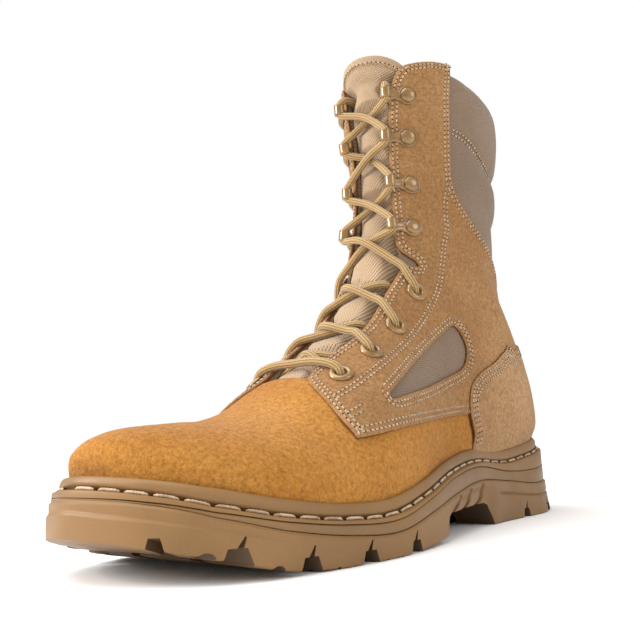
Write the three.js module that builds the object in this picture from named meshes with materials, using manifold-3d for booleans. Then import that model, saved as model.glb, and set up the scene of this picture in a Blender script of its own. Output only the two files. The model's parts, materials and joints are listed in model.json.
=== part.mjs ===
// A laced combat boot for the left foot: suede and woven nylon upper on a lugged rubber sole.
// Millimetres. +Z is up, the toe points to -Y and the outer side of the foot is +X. The floor is Z = 0.
import * as THREE from "three";
import { mergeVertices } from "three/addons/utils/BufferGeometryUtils.js";
import Module from "manifold-3d";

const wasm = await Module();
wasm.setup();

// ---------------------------------------------------------------- driving dimensions
const GAP = 0.3; // between two pieces that touch
const WALL = 2.4; // suede or nylon with its lining
const COLLAR_PADDING = 4; // extra wall of the padded collar, at its thickest
const COUNTER_THICKNESS = 1.7; // the heel counter, which lies over the upper
const TONGUE_THICKNESS = 4.5;
const LACE_RADIUS = 2.1;
const LACE_LIFT = 1.2; // from the surface to the lace

// The last, as sections from the toe to the collar. Each section is a plane across the boot, through
// its top point (the ridge of the vamp, then the front of the shaft) and its base point (the sole,
// then the back of the heel). lateral and medial are X at the widest place, which is at the share
// `widest` of the way from base to top. ridge and keel are X of the top and base points. crown and
// box are the roundness above and below: 2 is an ellipse, more is boxier, less is more pointed.
const LAST = [
  // topY, topZ, baseY, baseZ, lateral, medial, ridge, keel, widest, crown, box
  [-150, 41, -150, 41, -12, -12, -12, -12, 0.5, 2, 2],
  [-148.5, 47, -149.5, 28, 3, -26, -12, -12, 0.45, 2, 2.6],
  [-143, 50.5, -145, 20, 15.5, -34.5, -12, -12, 0.42, 2, 3.2],
  [-133, 53, -133, 14, 27.5, -43, -10.5, -10, 0.42, 2, 3.6],
  [-117, 54, -117, 8, 37.3, -48.6, -8, -7, 0.42, 2, 4],
  [-97, 55.5, -97, 4, 44.7, -51.2, -6, -3, 0.42, 2, 4],
  [-77, 61, -75, 2, 48.8, -51, -4, 0, 0.4, 2, 4],
  [-56, 72.5, -50, 2, 50.7, -47.2, -3, 1, 0.36, 2.2, 4],
  [-35, 87.5, -24, 6, 49, -40.5, -2, 2, 0.34, 2.2, 4],
  [-13, 106, 6, 12, 43.3, -33.5, -1, 2, 0.33, 2, 3.6],
  [4, 128, 42, 14, 38.7, -31.5, 0, 1, 0.33, 2, 3.4],
  [13, 150, 86, 16, 38, -34.5, 0, 0, 0.36, 1.9, 3.2],
  [17, 169, 130, 20, 38.5, -36.5, 0, -1, 0.4, 1.85, 3.2],
  [18, 187, 151.5, 42, 36.5, -35, 0, -1, 0.45, 1.8, 2.7],
  [18, 203, 140, 76, 33, -32.5, 0, -1, 0.48, 1.8, 2.1],
  [18, 217, 129, 108, 33.5, -33, 0, 0, 0.5, 1.8, 2],
  [17.5, 230, 126.5, 142, 36, -35, 0, 0, 0.5, 1.8, 2],
  [17.5, 240, 128, 176, 37.5, -36.5, 0, 0, 0.5, 1.8, 2],
  [17, 248, 134, 208, 38, -37, 0, 0, 0.5, 1.8, 2],
  [17, 256, 139, 238, 38.5, -37.5, 0, 0, 0.5, 1.8, 2],
  [16, 270, 138, 268, 38.5, -37.5, 0, 0, 0.5, 1.8, 2],
].map(([topY, topZ, baseY, baseZ, lateral, medial, ridge, keel, widest, crown, box]) => (
  { topY, topZ, baseY, baseZ, lateral, medial, ridge, keel, widest, crown, box }
));

// The sole's levels along the boot, as heights above the floor: the feather line where upper meets
// welt, the line under the welt's lip, the line under the midsole band, and the tread.
const SOLE = [
  { y: -160, feather: 37.4, lip: 29.9, band: 29.2, tread: 16.2 },
  { y: -148, feather: 35.4, lip: 27.9, band: 26.8, tread: 12.8 },
  { y: -132, feather: 31.2, lip: 23.4, band: 21.4, tread: 8 },
  { y: -110, feather: 26, lip: 18.4, band: 15.2, tread: 2 },
  { y: -84, feather: 22, lip: 14.8, band: 10.8, tread: 0 },
  { y: -56, feather: 21.4, lip: 14, band: 9.2, tread: 0 },
  { y: -26, feather: 26.8, lip: 20.2, band: 14.2, tread: 1.2 },
  { y: 6, feather: 33.6, lip: 26.6, band: 19, tread: 3.4 },
  { y: 42, feather: 38.2, lip: 29.6, band: 22.6, tread: 0 },
  { y: 78, feather: 36.6, lip: 25.6, band: 20.2, tread: 0 },
  { y: 110, feather: 39.8, lip: 25.2, band: 17.2, tread: 0 },
  { y: 134, feather: 42.6, lip: 28, band: 18.4, tread: 0.6 },
  { y: 160, feather: 44.6, lip: 30, band: 20, tread: 3.4 },
];

// The outsole's outline seen from above, from toe to heel: X of its outer and inner edge. The first
// and last rows are single points.
const OUTLINE = [
  { y: -158, lateral: -12, medial: -12 },
  { y: -154, lateral: 6, medial: -28 },
  { y: -147, lateral: 20, medial: -39.5 },
  { y: -134, lateral: 34, medial: -48.5 },
  { y: -114, lateral: 45, medial: -54.5 },
  { y: -88, lateral: 52.5, medial: -57 },
  { y: -58, lateral: 57, medial: -54.5 },
  { y: -28, lateral: 55.5, medial: -46.5 },
  { y: 2, lateral: 49.5, medial: -38.5 },
  { y: 32, lateral: 44, medial: -36 },
  { y: 62, lateral: 41.5, medial: -37 },
  { y: 92, lateral: 41.5, medial: -39.5 },
  { y: 118, lateral: 41, medial: -39 },
  { y: 137, lateral: 34.5, medial: -32.5 },
  { y: 150, lateral: 21, medial: -20 },
  { y: 158, lateral: 0, medial: 0 },
];

// Profiles of the sole's three layers, each point as how far it is outside the outline (less than
// nothing is inside) and its rise above one of the levels. The welt's is a closed loop: it is a strip.
const WELT_PROFILE = [
  { out: -16, level: "feather", rise: 0 },
  { out: -5.6, level: "feather", rise: 0 },
  { out: -3.4, level: "feather", rise: -1.6 },
  { out: -3.2, level: "lip", rise: 2.4 },
  { out: -1.2, level: "lip", rise: 1.8 },
  { out: -0.8, level: "lip", rise: 0.3 },
  { out: -16, level: "lip", rise: 0.3 },
];
const MIDSOLE_PROFILE = [
  { out: -16.4, level: "feather", rise: 0 },
  { out: -16.4, level: "lip", rise: 0 },
  { out: -1.2, level: "lip", rise: 0 },
  { out: -0.6, level: "band", rise: 0.3 },
];
const OUTSOLE_PROFILE = [
  { out: -0.6, level: "band", rise: 0 },
  { out: 0.4, level: "band", rise: -1.2 },
  { out: 0, level: "tread", rise: 6 },
  { out: -0.4, level: "tread", rise: 0 },
];

const INSOLE_PROFILE = [
  { out: -11, level: "feather", rise: 0.3 },
  { out: -9.6, level: "feather", rise: 2.5 },
  { out: -10, level: "feather", rise: 5 },
];

// The arch's recess, as the sole's side view: it is cut right across.
const ARCH = [
  { y: -13, z: -1 },
  { y: -10, z: 10.5 },
  { y: 46, z: 11.8 },
  { y: 55, z: -1 },
];

// Grooves across the tread, from the outer edge to the middle and on to the inner edge, as places
// along the boot. They narrow upwards, so they show as notches at the edges.
const GROOVES = [
  { lateral: -127, middle: -132, medial: -118 },
  { lateral: -102, middle: -108, medial: -93 },
  { lateral: -75.5, middle: -82, medial: -66 },
  { lateral: -47, middle: -54, medial: -38 },
  { lateral: 92, middle: 88, medial: 92 },
  { lateral: 122, middle: 126, medial: 122 },
];
// Grooves that run out at the toe's corners, and the narrower pairs along the forefoot and the heel.
const TOE_GROOVES = [
  [{ x: 10, y: -128 }, { x: 30, y: -162 }],
  [{ x: -34, y: -118 }, { x: -66, y: -134 }],
];
const LONG_GROOVES = [
  [-128, -112, -84, -40, -8],
  [50, 78, 100, 134],
];
const LONG_GROOVE_X = 17; // either side of the middle
const GROOVE = { mouth: 9, roof: 5.4, depth: 4.6 }; // widths at the ground and at the top, and height
const NARROW_GROOVE = { mouth: 6, roof: 4, depth: 4.6 };
const BEYOND = 75; // from the middle to well outside the boot
const GROOVE_SLANT = 4; // how far a groove's line goes on along the boot, from the edge to BEYOND

// The collar's edge, as the boot's side view: high at the front flaps, lower round the padded part.
const COLLAR = [
  { y: -10, z: 256 },
  { y: 20, z: 256 },
  { y: 49, z: 251.5 },
  { y: 56, z: 248 },
  { y: 95, z: 246.5 },
  { y: 160, z: 244 },
];

// The throat: half its width, as turns round the last, at rows of LAST.
const THROAT = [
  { row: 6.85, turn: 0.004 },
  { row: 6.98, turn: 0.034 },
  { row: 7.5, turn: 0.038 },
  { row: 8, turn: 0.048 },
  { row: 8.7, turn: 0.06 },
  { row: 9.4, turn: 0.066 },
  { row: 10, turn: 0.071 },
  { row: 10.6, turn: 0.08 },
  { row: 10.9, turn: 0.078 },
  { row: 11.3, turn: 0.062 },
  { row: 12.1, turn: 0.052 },
  { row: 12.8, turn: 0.053 },
  { row: 13.9, turn: 0.06 },
  { row: 15, turn: 0.065 },
  { row: 16.4, turn: 0.067 },
  { row: 17.2, turn: 0.072 },
  { row: 18.6, turn: 0.088 },
  { row: 20, turn: 0.1 },
];

// Where the lace is held, from the bottom up: eyelets, then speed hooks, as rows of LAST and turns.
const EYELETS = [
  { row: 7.41, turn: 0.081 },
  { row: 8.34, turn: 0.095 },
  { row: 9.35, turn: 0.107 },
  { row: 10.5, turn: 0.114 },
];
const HOOKS = [
  { row: 12.05, turn: 0.087 },
  { row: 13.46, turn: 0.093 },
  { row: 15.17, turn: 0.102 },
  { row: 16.86, turn: 0.102 },
];
const EYELET_RADIUS = 5.6;
const EYELET_BORE = 2.7;
const EYELET_BARREL = 3.2;
const HOOK_BASE_RADIUS = 5.2;
const HOOK_RIVET_RADIUS = 3.8;
const HOOK_REACH = 16; // from the rivet's middle to the end of the curl
const HOOK_WIDTH = 6.4;
const HOOK_METAL = 1;
const CURL_RADIUS = 2.9; // the curl, outside

// The heel counter's outline, as the boot's side view.
const COUNTER = [
  { y: 39.5, z: 20 },
  { y: 38, z: 50 },
  { y: 38.5, z: 60 },
  { y: 42, z: 69 },
  { y: 50, z: 75.5 },
  { y: 70, z: 85 },
  { y: 100, z: 94 },
  { y: 135, z: 101 },
  { y: 165, z: 103 },
  { y: 165, z: 20 },
];

// ---------------------------------------------------------------- curves through the tables
// The smooth curve through four values: it leaves `from` and reaches `to` with the slope of the line
// between each one's neighbours.
function through(before, from, to, after, t) {
  const leave = (to - before) / 2;
  const reach = (after - from) / 2;
  const cubic = 2 * (from - to) + leave + reach;
  const square = 3 * (to - from) - 2 * leave - reach;
  return ((cubic * t + square) * t + leave) * t + from;
}

// A column of LAST at row number s, which need not be whole. Before the toe the rows are reflected,
// so that the toe closes as a smooth dome.
function lastColumn(column, s) {
  const i = Math.min(Math.floor(s), LAST.length - 2);
  const value = (k) => LAST[Math.min(k, LAST.length - 1)][column];
  const mirrored = { lateral: "medial", medial: "lateral", topZ: "baseZ", baseZ: "topZ" };
  const before = i > 0 ? value(i - 1) : LAST[1][mirrored[column] ?? column];
  return through(before, value(i), value(i + 1), value(i + 2), s - i);
}

// A column of SOLE at a place y along the boot.
function soleLevel(column, y) {
  let i = 1;
  while (i < SOLE.length - 1 && y > SOLE[i].y) i++;
  const rows = [SOLE[Math.max(i - 2, 0)], SOLE[i - 1], SOLE[i], SOLE[Math.min(i + 1, SOLE.length - 1)]];
  const t = THREE.MathUtils.clamp((y - rows[1].y) / (rows[2].y - rows[1].y), 0, 1);
  return Math.max(0, through(...rows.map((r) => r[column]), t));
}

// ---------------------------------------------------------------- the upper's surface
// The point of the last at row s and a share `turn` of the way round the section: 0 is the ridge, a
// quarter the outer side, a half the base, and three quarters the inner side.
function lastPoint(s, turn) {
  const row = Object.fromEntries(Object.keys(LAST[0]).map((c) => [c, lastColumn(c, s)]));
  const angle = turn * 2 * Math.PI;
  const across = Math.sin(angle);
  const along = Math.cos(angle);
  const power = 2 / (along > 0 ? row.crown : row.box);
  const reach = along > 0 ? 1 - row.widest : row.widest;
  const share = row.widest + Math.sign(along) * reach * Math.abs(along) ** power;
  const middle = THREE.MathUtils.lerp(row.keel, row.ridge, share);
  const widestMiddle = THREE.MathUtils.lerp(row.keel, row.ridge, row.widest);
  const half = across > 0 ? row.lateral - widestMiddle : row.medial - widestMiddle;
  return new THREE.Vector3(
    middle + half * Math.abs(across) ** power,
    THREE.MathUtils.lerp(row.baseY, row.topY, share),
    THREE.MathUtils.lerp(row.baseZ, row.topZ, share),
  );
}

function lastNormal(s, turn) {
  const step = 0.02;
  if (s < step) return new THREE.Vector3(0, -1, 0);
  const turnStep = 0.004;
  const alongBoot = lastPoint(s + step, turn).sub(lastPoint(s - step, turn));
  const round = lastPoint(s, turn + turnStep).sub(lastPoint(s, turn - turnStep));
  return round.cross(alongBoot).normalize();
}

// A place on the last, `out` millimetres outside its surface.
function onLast(s, turn, out = 0) {
  return lastPoint(s, turn).addScaledVector(lastNormal(s, turn), out);
}

function range(from, to, step) {
  return Array.from({ length: Math.round((to - from) / step) + 1 }, (_, i) => from + i * step);
}

// The value of `column` at a place along a short table, straight from row to row.
function lookUp(table, along, column, at) {
  let i = 1;
  while (i < table.length - 1 && at > table[i][along]) i++;
  const [a, b] = [table[i - 1], table[i]];
  const t = THREE.MathUtils.clamp((at - a[along]) / (b[along] - a[along]), 0, 1);
  return THREE.MathUtils.lerp(a[column], b[column], t);
}

// ---------------------------------------------------------------- solids
// A closed solid of positions and triangles, turned the right way out.
function solidOf(geometry) {
  const bare = new THREE.BufferGeometry();
  bare.setAttribute("position", geometry.getAttribute("position"));
  bare.setIndex(geometry.index);
  const merged = mergeVertices(bare, 1e-3);
  const corners = merged.index.array;
  const faces = [];
  for (let i = 0; i < corners.length; i += 3) {
    const [a, b, c] = corners.slice(i, i + 3);
    if (a !== b && b !== c && c !== a) faces.push(a, b, c);
  }
  const build = (triangles) =>
    new wasm.Manifold(
      new wasm.Mesh({
        numProp: 3,
        vertProperties: new Float32Array(merged.attributes.position.array),
        triVerts: new Uint32Array(triangles),
      }),
    );
  const made = build(faces);
  return made.volume() > 0 ? made : build(faces.reverse());
}

// Joins closed rings of points, each with the same count, into a solid. Each end is closed by a strip
// between the two halves of its ring. With `closed` the last ring meets the first instead.
function loft(rings, closed = false) {
  const count = rings[0].length;
  const faces = [];
  const spans = closed ? rings.length : rings.length - 1;
  for (let k = 0; k < spans; k++) {
    const here = k * count;
    const next = ((k + 1) % rings.length) * count;
    for (let i = 0; i < count; i++) {
      const j = (i + 1) % count;
      faces.push(here + i, here + j, next + j, here + i, next + j, next + i);
    }
  }
  const strip = (start, turned) => {
    for (let i = 0; i < count / 2; i++) {
      const [a, b] = [start + i, start + i + 1];
      const [c, d] = [start + ((count - i) % count), start + count - i - 1];
      if (turned) faces.push(a, d, b, a, c, d);
      else faces.push(a, b, d, a, d, c);
    }
  };
  if (!closed) {
    strip(0, true);
    strip(count * (rings.length - 1), false);
  }
  const geometry = new THREE.BufferGeometry().setFromPoints(rings.flat());
  geometry.setIndex(faces);
  return solidOf(geometry);
}

function union(solids) {
  return solids.reduce((all, next) => all.add(next));
}

function placed(geometry, matrix) {
  return solidOf(geometry.applyMatrix4(matrix));
}

// A side view's outline carried right across the boot.
function sideCut(places) {
  const outline = new THREE.Shape(places.map((p) => new THREE.Vector2(p.y, p.z)));
  const slab = new THREE.ExtrudeGeometry(outline, { depth: 2 * BEYOND, bevelEnabled: false });
  const upright = new THREE.Matrix4().makeBasis(
    new THREE.Vector3(0, 1, 0),
    new THREE.Vector3(0, 0, 1),
    new THREE.Vector3(1, 0, 0),
  );
  return placed(slab.translate(0, 0, -BEYOND), upright);
}

// ---------------------------------------------------------------- sole
const outlineLoop = new THREE.CatmullRomCurve3(
  [
    ...OUTLINE.map((r) => new THREE.Vector3(r.lateral, r.y, 0)),
    ...OUTLINE.slice(1, -1).reverse().map((r) => new THREE.Vector3(r.medial, r.y, 0)),
  ],
  true,
  "catmullrom",
  0.5,
);
const OUTLINE_STEPS = (OUTLINE.length - 1) * 4;

// One loop round the sole at a row of one of its profiles.
function soleRing({ out, level, rise }) {
  return Array.from({ length: OUTLINE_STEPS }, (_, i) => {
    const point = outlineLoop.getPoint(i / OUTLINE_STEPS);
    const along = outlineLoop.getTangent(i / OUTLINE_STEPS);
    point.addScaledVector(new THREE.Vector3(along.y, -along.x, 0), out);
    return point.setZ(soleLevel(level, point.y) + rise);
  });
}

// A groove in the tread through places seen from below. It starts a little under the tread.
function groove(places, { mouth, roof, depth } = GROOVE) {
  const under = 4;
  const rings = places.map((place, i) => {
    const from = places[Math.max(i - 1, 0)];
    const to = places[Math.min(i + 1, places.length - 1)];
    const side = new THREE.Vector2(from.y - to.y, to.x - from.x).normalize();
    const tread = soleLevel("tread", place.y);
    const corner = (half, z) => new THREE.Vector3(place.x + side.x * half, place.y + side.y * half, z);
    return [
      corner(-mouth / 2 - 1, tread - under),
      corner(mouth / 2 + 1, tread - under),
      corner(roof / 2, tread + depth),
      corner(-roof / 2, tread + depth),
    ];
  });
  return loft(rings);
}

function makeOutsole() {
  const block = loft(OUTSOLE_PROFILE.map(soleRing));
  const across = GROOVES.map((g) =>
    groove([
      { x: -BEYOND, y: g.medial - GROOVE_SLANT },
      { x: 0, y: g.middle },
      { x: BEYOND, y: g.lateral + GROOVE_SLANT },
    ]),
  );
  const toe = TOE_GROOVES.map((places) => groove(places));
  const along = [-LONG_GROOVE_X, LONG_GROOVE_X].flatMap((x) =>
    LONG_GROOVES.map((line) => groove(line.map((y) => ({ x, y })), NARROW_GROOVE)),
  );
  return block.subtract(union([sideCut(ARCH), ...across, ...toe, ...along]));
}

const makeMidsole = () => loft(MIDSOLE_PROFILE.map(soleRing));
const makeWelt = () => loft(WELT_PROFILE.map(soleRing), true);

// ---------------------------------------------------------------- upper
const SECTION_STEPS = 24;
const TOP_ROW = LAST.length - 1;
const TOE_ROWS = [0, 0.4, 1, 1.5, 2, 3, 4, 5];
const FORM_ROWS = [...TOE_ROWS, ...range(6, 11, 0.5), 12, ...range(12.5, 14.5, 0.5), ...range(15, TOP_ROW, 1)];
const LINING_ROWS = [...TOE_ROWS, 6, 7, 7.5, 8.25, 9, 9.75, 10.5, ...range(11, TOP_ROW, 1)];

// The whole last as a solid, `out` outside its surface (a function of the row and the turn).
function form(out, rows = FORM_ROWS) {
  return loft(
    rows.map((s) =>
      Array.from({ length: SECTION_STEPS }, (_, i) => {
        const turn = i / SECTION_STEPS;
        return onLast(s, turn, out(s, turn));
      }),
    ),
  );
}

// A sheet of the last between two distances from its surface, at the given rows. `edge` gives the
// turns at which it starts and ends at a row.
function sheet(rows, edge, low, high, steps) {
  return loft(
    rows.map((s) => {
      const [from, to] = edge(s);
      const turns = Array.from({ length: steps + 1 }, (_, i) => from + ((to - from) * i) / steps);
      return [
        ...turns.map((t) => onLast(s, t, high)),
        ...turns.reverse().map((t) => onLast(s, t, low)),
      ];
    }),
  );
}

// Everything above the collar's edge.
const aboveCollar = () => sideCut([...COLLAR, { y: 160, z: 330 }, { y: -10, z: 330 }]);

// Everything below the line where upper and welt meet.
function belowFeather() {
  const ring = soleRing({ out: 14, level: "feather", rise: GAP });
  return loft([ring.map((p) => p.clone().setZ(-20)), ring]);
}

// How far inside the surface the lining is: the collar's back is padded.
function lining(s, turn) {
  const upwards = THREE.MathUtils.smoothstep(s, 15.5, 18);
  const fromFlap = THREE.MathUtils.smoothstep(0.3 - Math.abs(turn - 0.5), 0, 0.08);
  const padded = upwards * fromFlap;
  return WALL + COLLAR_PADDING * padded;
}

function makeUpper() {
  const throatRows = [6.86, 7, 7.5, 8.1, 8.7, 9.4, 10, 10.8, 11.5, 12.5, 13.25, ...range(14, TOP_ROW, 1)];
  const throat = sheet(
    throatRows,
    (s) => {
      const half = lookUp(THROAT, "row", "turn", s);
      return [-half, half];
    },
    -12,
    8,
    6,
  );
  return form(() => 0)
    .subtract(form((s, turn) => -lining(s, turn), LINING_ROWS))
    .subtract(throat)
    .subtract(aboveCollar())
    .subtract(belowFeather())
    .subtract(union(eyeletPlaces().map((m) => placed(barrel(EYELET_BARREL + GAP), m))));
}

// The counter lies over the upper: it is what the side view's outline cuts from between two forms.
function makeCounter() {
  const shell = form(() => COUNTER_THICKNESS + GAP).subtract(form(() => GAP));
  return shell.intersect(sideCut(COUNTER)).subtract(belowFeather());
}

function makeInsole() {
  const inside = form(() => -WALL - 2 * GAP, LINING_ROWS);
  return loft(INSOLE_PROFILE.map(soleRing)).intersect(inside);
}

// ---------------------------------------------------------------- tongue
const TONGUE = [
  { row: 6.9, turn: 0.03 },
  { row: 7.5, turn: 0.085 },
  { row: 9, turn: 0.11 },
  { row: 11, turn: 0.115 },
  { row: 14, turn: 0.115 },
  { row: 19, turn: 0.12 },
  { row: 19.5, turn: 0.1 },
];

function makeTongue() {
  const rows = [6.9, 7.3, ...range(8, 12, 0.5), ...range(13, 19, 1), 19.5];
  const edge = (s) => {
    const half = lookUp(TONGUE, "row", "turn", s);
    return [-half, half];
  };
  const top = -WALL - 4 * GAP;
  return sheet(rows, edge, top - TONGUE_THICKNESS, top, 8);
}

// ---------------------------------------------------------------- eyelets, hooks
// The frame of something set on the last: X level and towards the throat, Z out of the surface.
function seat(row, turn, side) {
  const share = side > 0 ? turn : 1 - turn;
  const out = lastNormal(row, share);
  const level = out.clone().cross(new THREE.Vector3(0, 0, side));
  const along = out.clone().cross(level).normalize();
  return new THREE.Matrix4()
    .makeBasis(along.clone().cross(out), along, out)
    .setPosition(lastPoint(row, share));
}

const EYELET_SIDES = 10;

function eyeletPlaces() {
  return [1, -1].flatMap((side) => EYELETS.map((e) => seat(e.row, e.turn, side)));
}

// A plug through the wall, along Z.
function barrel(radius) {
  return new THREE.CylinderGeometry(radius, radius, 12, EYELET_SIDES).rotateX(Math.PI / 2);
}

function makeEyelet(place) {
  const profile = [
    [EYELET_BORE, -WALL - GAP],
    [EYELET_BARREL, -WALL - GAP],
    [EYELET_BARREL, 2 * GAP],
    [EYELET_RADIUS, 2 * GAP],
    [EYELET_RADIUS - 1, 1.7],
    [EYELET_BORE, 1.3],
    [EYELET_BORE, -WALL - GAP],
  ];
  const lathe = new THREE.LatheGeometry(profile.map(([r, z]) => new THREE.Vector2(r, z)), EYELET_SIDES);
  return placed(lathe.rotateX(Math.PI / 2), place);
}

// A speed hook: a round foot under a rivet, and a strap that runs past the flap's edge and curls back.
function makeHook(place) {
  const foot = new THREE.CylinderGeometry(HOOK_BASE_RADIUS, HOOK_BASE_RADIUS, HOOK_METAL, 8)
    .rotateX(Math.PI / 2)
    .translate(0, 0, GAP + HOOK_METAL / 2);
  const cap = [
    [0, 1.1],
    [HOOK_RIVET_RADIUS, 1.1],
    [HOOK_RIVET_RADIUS - 0.8, 2.6],
    [0, 3.1],
  ];
  const rivet = new THREE.LatheGeometry(cap.map(([r, z]) => new THREE.Vector2(r, z)), 8).rotateX(Math.PI / 2);
  const curlX = HOOK_REACH - CURL_RADIUS;
  const under = GAP + 0.1;
  const curlEnd = Math.PI * 0.55;
  const strap = new THREE.Shape();
  strap.moveTo(1, under);
  strap.lineTo(curlX, under);
  strap.absarc(curlX, under + CURL_RADIUS, CURL_RADIUS, -Math.PI / 2, curlEnd, false);
  strap.absarc(curlX, under + CURL_RADIUS, CURL_RADIUS - HOOK_METAL, curlEnd, -Math.PI / 2, true);
  strap.lineTo(1, under + HOOK_METAL);
  const blade = new THREE.ExtrudeGeometry(strap, { depth: HOOK_WIDTH, bevelEnabled: false, curveSegments: 3 })
    .rotateX(Math.PI / 2)
    .translate(0, HOOK_WIDTH / 2, 0);
  return union([foot, rivet, blade].map((g) => placed(g, place)));
}

// ---------------------------------------------------------------- lace
// The lace's turning points, from the bottom up: beside the eyelets' flanges, and just past the hooks'
// curls. `clear` is how many rows of LAST short of its turning point a strand stops: nothing at the
// hooks, where the strands join.
const HOLDERS = [
  ...EYELETS.map(({ row, turn }) => ({ row, turn: turn - 0.028, clear: 0.16 })),
  ...HOOKS.map(({ row, turn }) => ({ row: row - 0.44, turn: turn - 0.064, clear: 0 })),
];

// One strand that lies over the flaps, from a turning point on one side to one on the other.
function makeStrand(from, to, side) {
  const places = [0, 0.25, 0.5, 0.75, 1].map((t) => {
    const turn = THREE.MathUtils.lerp(from.turn, -to.turn, t) * side;
    const row = THREE.MathUtils.lerp(from.row + from.clear, to.row - to.clear, t);
    return onLast(row, turn, LACE_RADIUS + LACE_LIFT);
  });
  const tube = new THREE.ExtrudeGeometry(new THREE.Shape().absarc(0, 0, LACE_RADIUS, 0, 2 * Math.PI), {
    steps: 3,
    curveSegments: 4,
    extrudePath: new THREE.CatmullRomCurve3(places),
    bevelEnabled: false,
  });
  return solidOf(tube);
}

const makeCrossing = (k) =>
  union([1, -1].map((side) => makeStrand(HOLDERS[k], HOLDERS[k + 1], side)));

// The bar that joins the lowest pair of eyelets.
function makeBar() {
  const { row, turn, clear } = HOLDERS[0];
  const end = { row: row - clear, turn, clear: 0 };
  return makeStrand(end, end, 1);
}

// ---------------------------------------------------------------- the boot
const suede = new THREE.MeshStandardMaterial({ color: 0xb98a52, roughness: 0.95 });
const nylon = new THREE.MeshStandardMaterial({ color: 0xa08a68, roughness: 0.9 });
const rubber = new THREE.MeshStandardMaterial({ color: 0x9c8058, roughness: 0.8 });
const foam = new THREE.MeshStandardMaterial({ color: 0x6d6450, roughness: 1 });
const brass = new THREE.MeshStandardMaterial({ color: 0xb08a4c, roughness: 0.35, metalness: 0.5 });
const cord = new THREE.MeshStandardMaterial({ color: 0xb39a68, roughness: 0.9 });

const boot = new THREE.Group();
function add(name, solid, material) {
  const { vertProperties, triVerts } = solid.getMesh();
  const geometry = new THREE.BufferGeometry();
  geometry.setAttribute("position", new THREE.BufferAttribute(new Float32Array(vertProperties), 3));
  geometry.setIndex(Array.from(triVerts));
  geometry.computeVertexNormals();
  const mesh = new THREE.Mesh(geometry, material);
  mesh.name = name;
  boot.add(mesh);
}

add("outsole", makeOutsole(), rubber);
add("midsole", makeMidsole(), rubber);
add("welt", makeWelt(), rubber);
add("upper", makeUpper(), suede);
add("heel_counter", makeCounter(), suede);
add("insole", makeInsole(), foam);
add("tongue", makeTongue(), nylon);
for (const [side, name] of [[1, "outer"], [-1, "inner"]]) {
  EYELETS.forEach((e, i) => add(`eyelet_${name}_${i + 1}`, makeEyelet(seat(e.row, e.turn, side)), brass));
  HOOKS.forEach((h, i) => add(`hook_${name}_${i + 1}`, makeHook(seat(h.row, h.turn, side)), brass));
}

add("lace_bar", makeBar(), cord);
range(1, EYELETS.length - 1, 1).forEach((k) => add(`lace_crossing_${k}`, makeCrossing(k - 1), cord));
add("lace_hooked", union(range(EYELETS.length - 1, HOLDERS.length - 2, 1).map(makeCrossing)), cord);

export default boot;
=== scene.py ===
# %% [markdown]
# # A laced combat boot
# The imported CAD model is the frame: every piece below is made in its metres, round its solids. The boot
# stands on the floor with its toe towards -Y and its outer side towards +X. The numbers in this file
# are millimetres until a mesh is written, when `MM` turns them into metres.

# %% The frame
import json
import math

import bmesh
import bpy
import numpy as np
from mathutils import Matrix, Vector
from mathutils.geometry import delaunay_2d_cdt

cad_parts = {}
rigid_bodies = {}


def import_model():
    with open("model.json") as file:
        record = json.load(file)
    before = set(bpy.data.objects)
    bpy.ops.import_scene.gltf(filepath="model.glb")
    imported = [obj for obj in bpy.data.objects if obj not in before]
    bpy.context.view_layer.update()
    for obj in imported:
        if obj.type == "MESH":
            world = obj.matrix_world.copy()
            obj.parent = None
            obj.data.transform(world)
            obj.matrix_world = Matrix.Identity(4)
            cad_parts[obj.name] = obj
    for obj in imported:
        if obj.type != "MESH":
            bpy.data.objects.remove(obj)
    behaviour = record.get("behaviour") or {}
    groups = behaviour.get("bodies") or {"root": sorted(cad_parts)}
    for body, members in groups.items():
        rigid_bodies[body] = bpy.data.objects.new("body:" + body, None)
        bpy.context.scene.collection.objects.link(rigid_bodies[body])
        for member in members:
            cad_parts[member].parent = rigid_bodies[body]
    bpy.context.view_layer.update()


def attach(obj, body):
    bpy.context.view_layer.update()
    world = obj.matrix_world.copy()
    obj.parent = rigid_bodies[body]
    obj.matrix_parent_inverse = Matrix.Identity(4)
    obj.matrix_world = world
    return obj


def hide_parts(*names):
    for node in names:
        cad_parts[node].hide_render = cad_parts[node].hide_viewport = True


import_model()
MM = 0.001
scene = bpy.context.scene

# %% [markdown]
# ## Camera
# A product camera close to the floor, in front of the toe and a little to the outer side, tilted up so
# that the shaft towers over the toe. Its three turns are given as yaw, pitch and roll, from which the
# columns of its matrix follow: right, up and the direction away from the subject.

# %% The camera
CAMERA_PLACE = (222.0, -307.1, 43.3)
CAMERA_YAW, CAMERA_PITCH, CAMERA_ROLL = np.radians((38.65, 9.57, -2.62))
CAMERA_LENS, SENSOR_WIDTH = 42.12, 36
NEAREST = 0.01  # metres in front of the camera, where the picture starts

ahead = Vector((
    -math.sin(CAMERA_YAW) * math.cos(CAMERA_PITCH),
    math.cos(CAMERA_YAW) * math.cos(CAMERA_PITCH),
    math.sin(CAMERA_PITCH),
))
level_right = Vector((math.cos(CAMERA_YAW), math.sin(CAMERA_YAW), 0))
level_up = level_right.cross(ahead)
right = level_right * math.cos(CAMERA_ROLL) + level_up * math.sin(CAMERA_ROLL)
up = level_up * math.cos(CAMERA_ROLL) - level_right * math.sin(CAMERA_ROLL)

camera = bpy.data.objects.new("camera", bpy.data.cameras.new("camera"))
camera.data.lens = CAMERA_LENS
camera.data.sensor_width = SENSOR_WIDTH
camera.data.clip_start = NEAREST
camera.matrix_world = Matrix.Translation(Vector(CAMERA_PLACE) * MM) @ Matrix(
    (right, up, -ahead)
).transposed().to_4x4()
scene.collection.objects.link(camera)
scene.camera = camera
print("camera", [round(v, 3) for v in camera.location])

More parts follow.
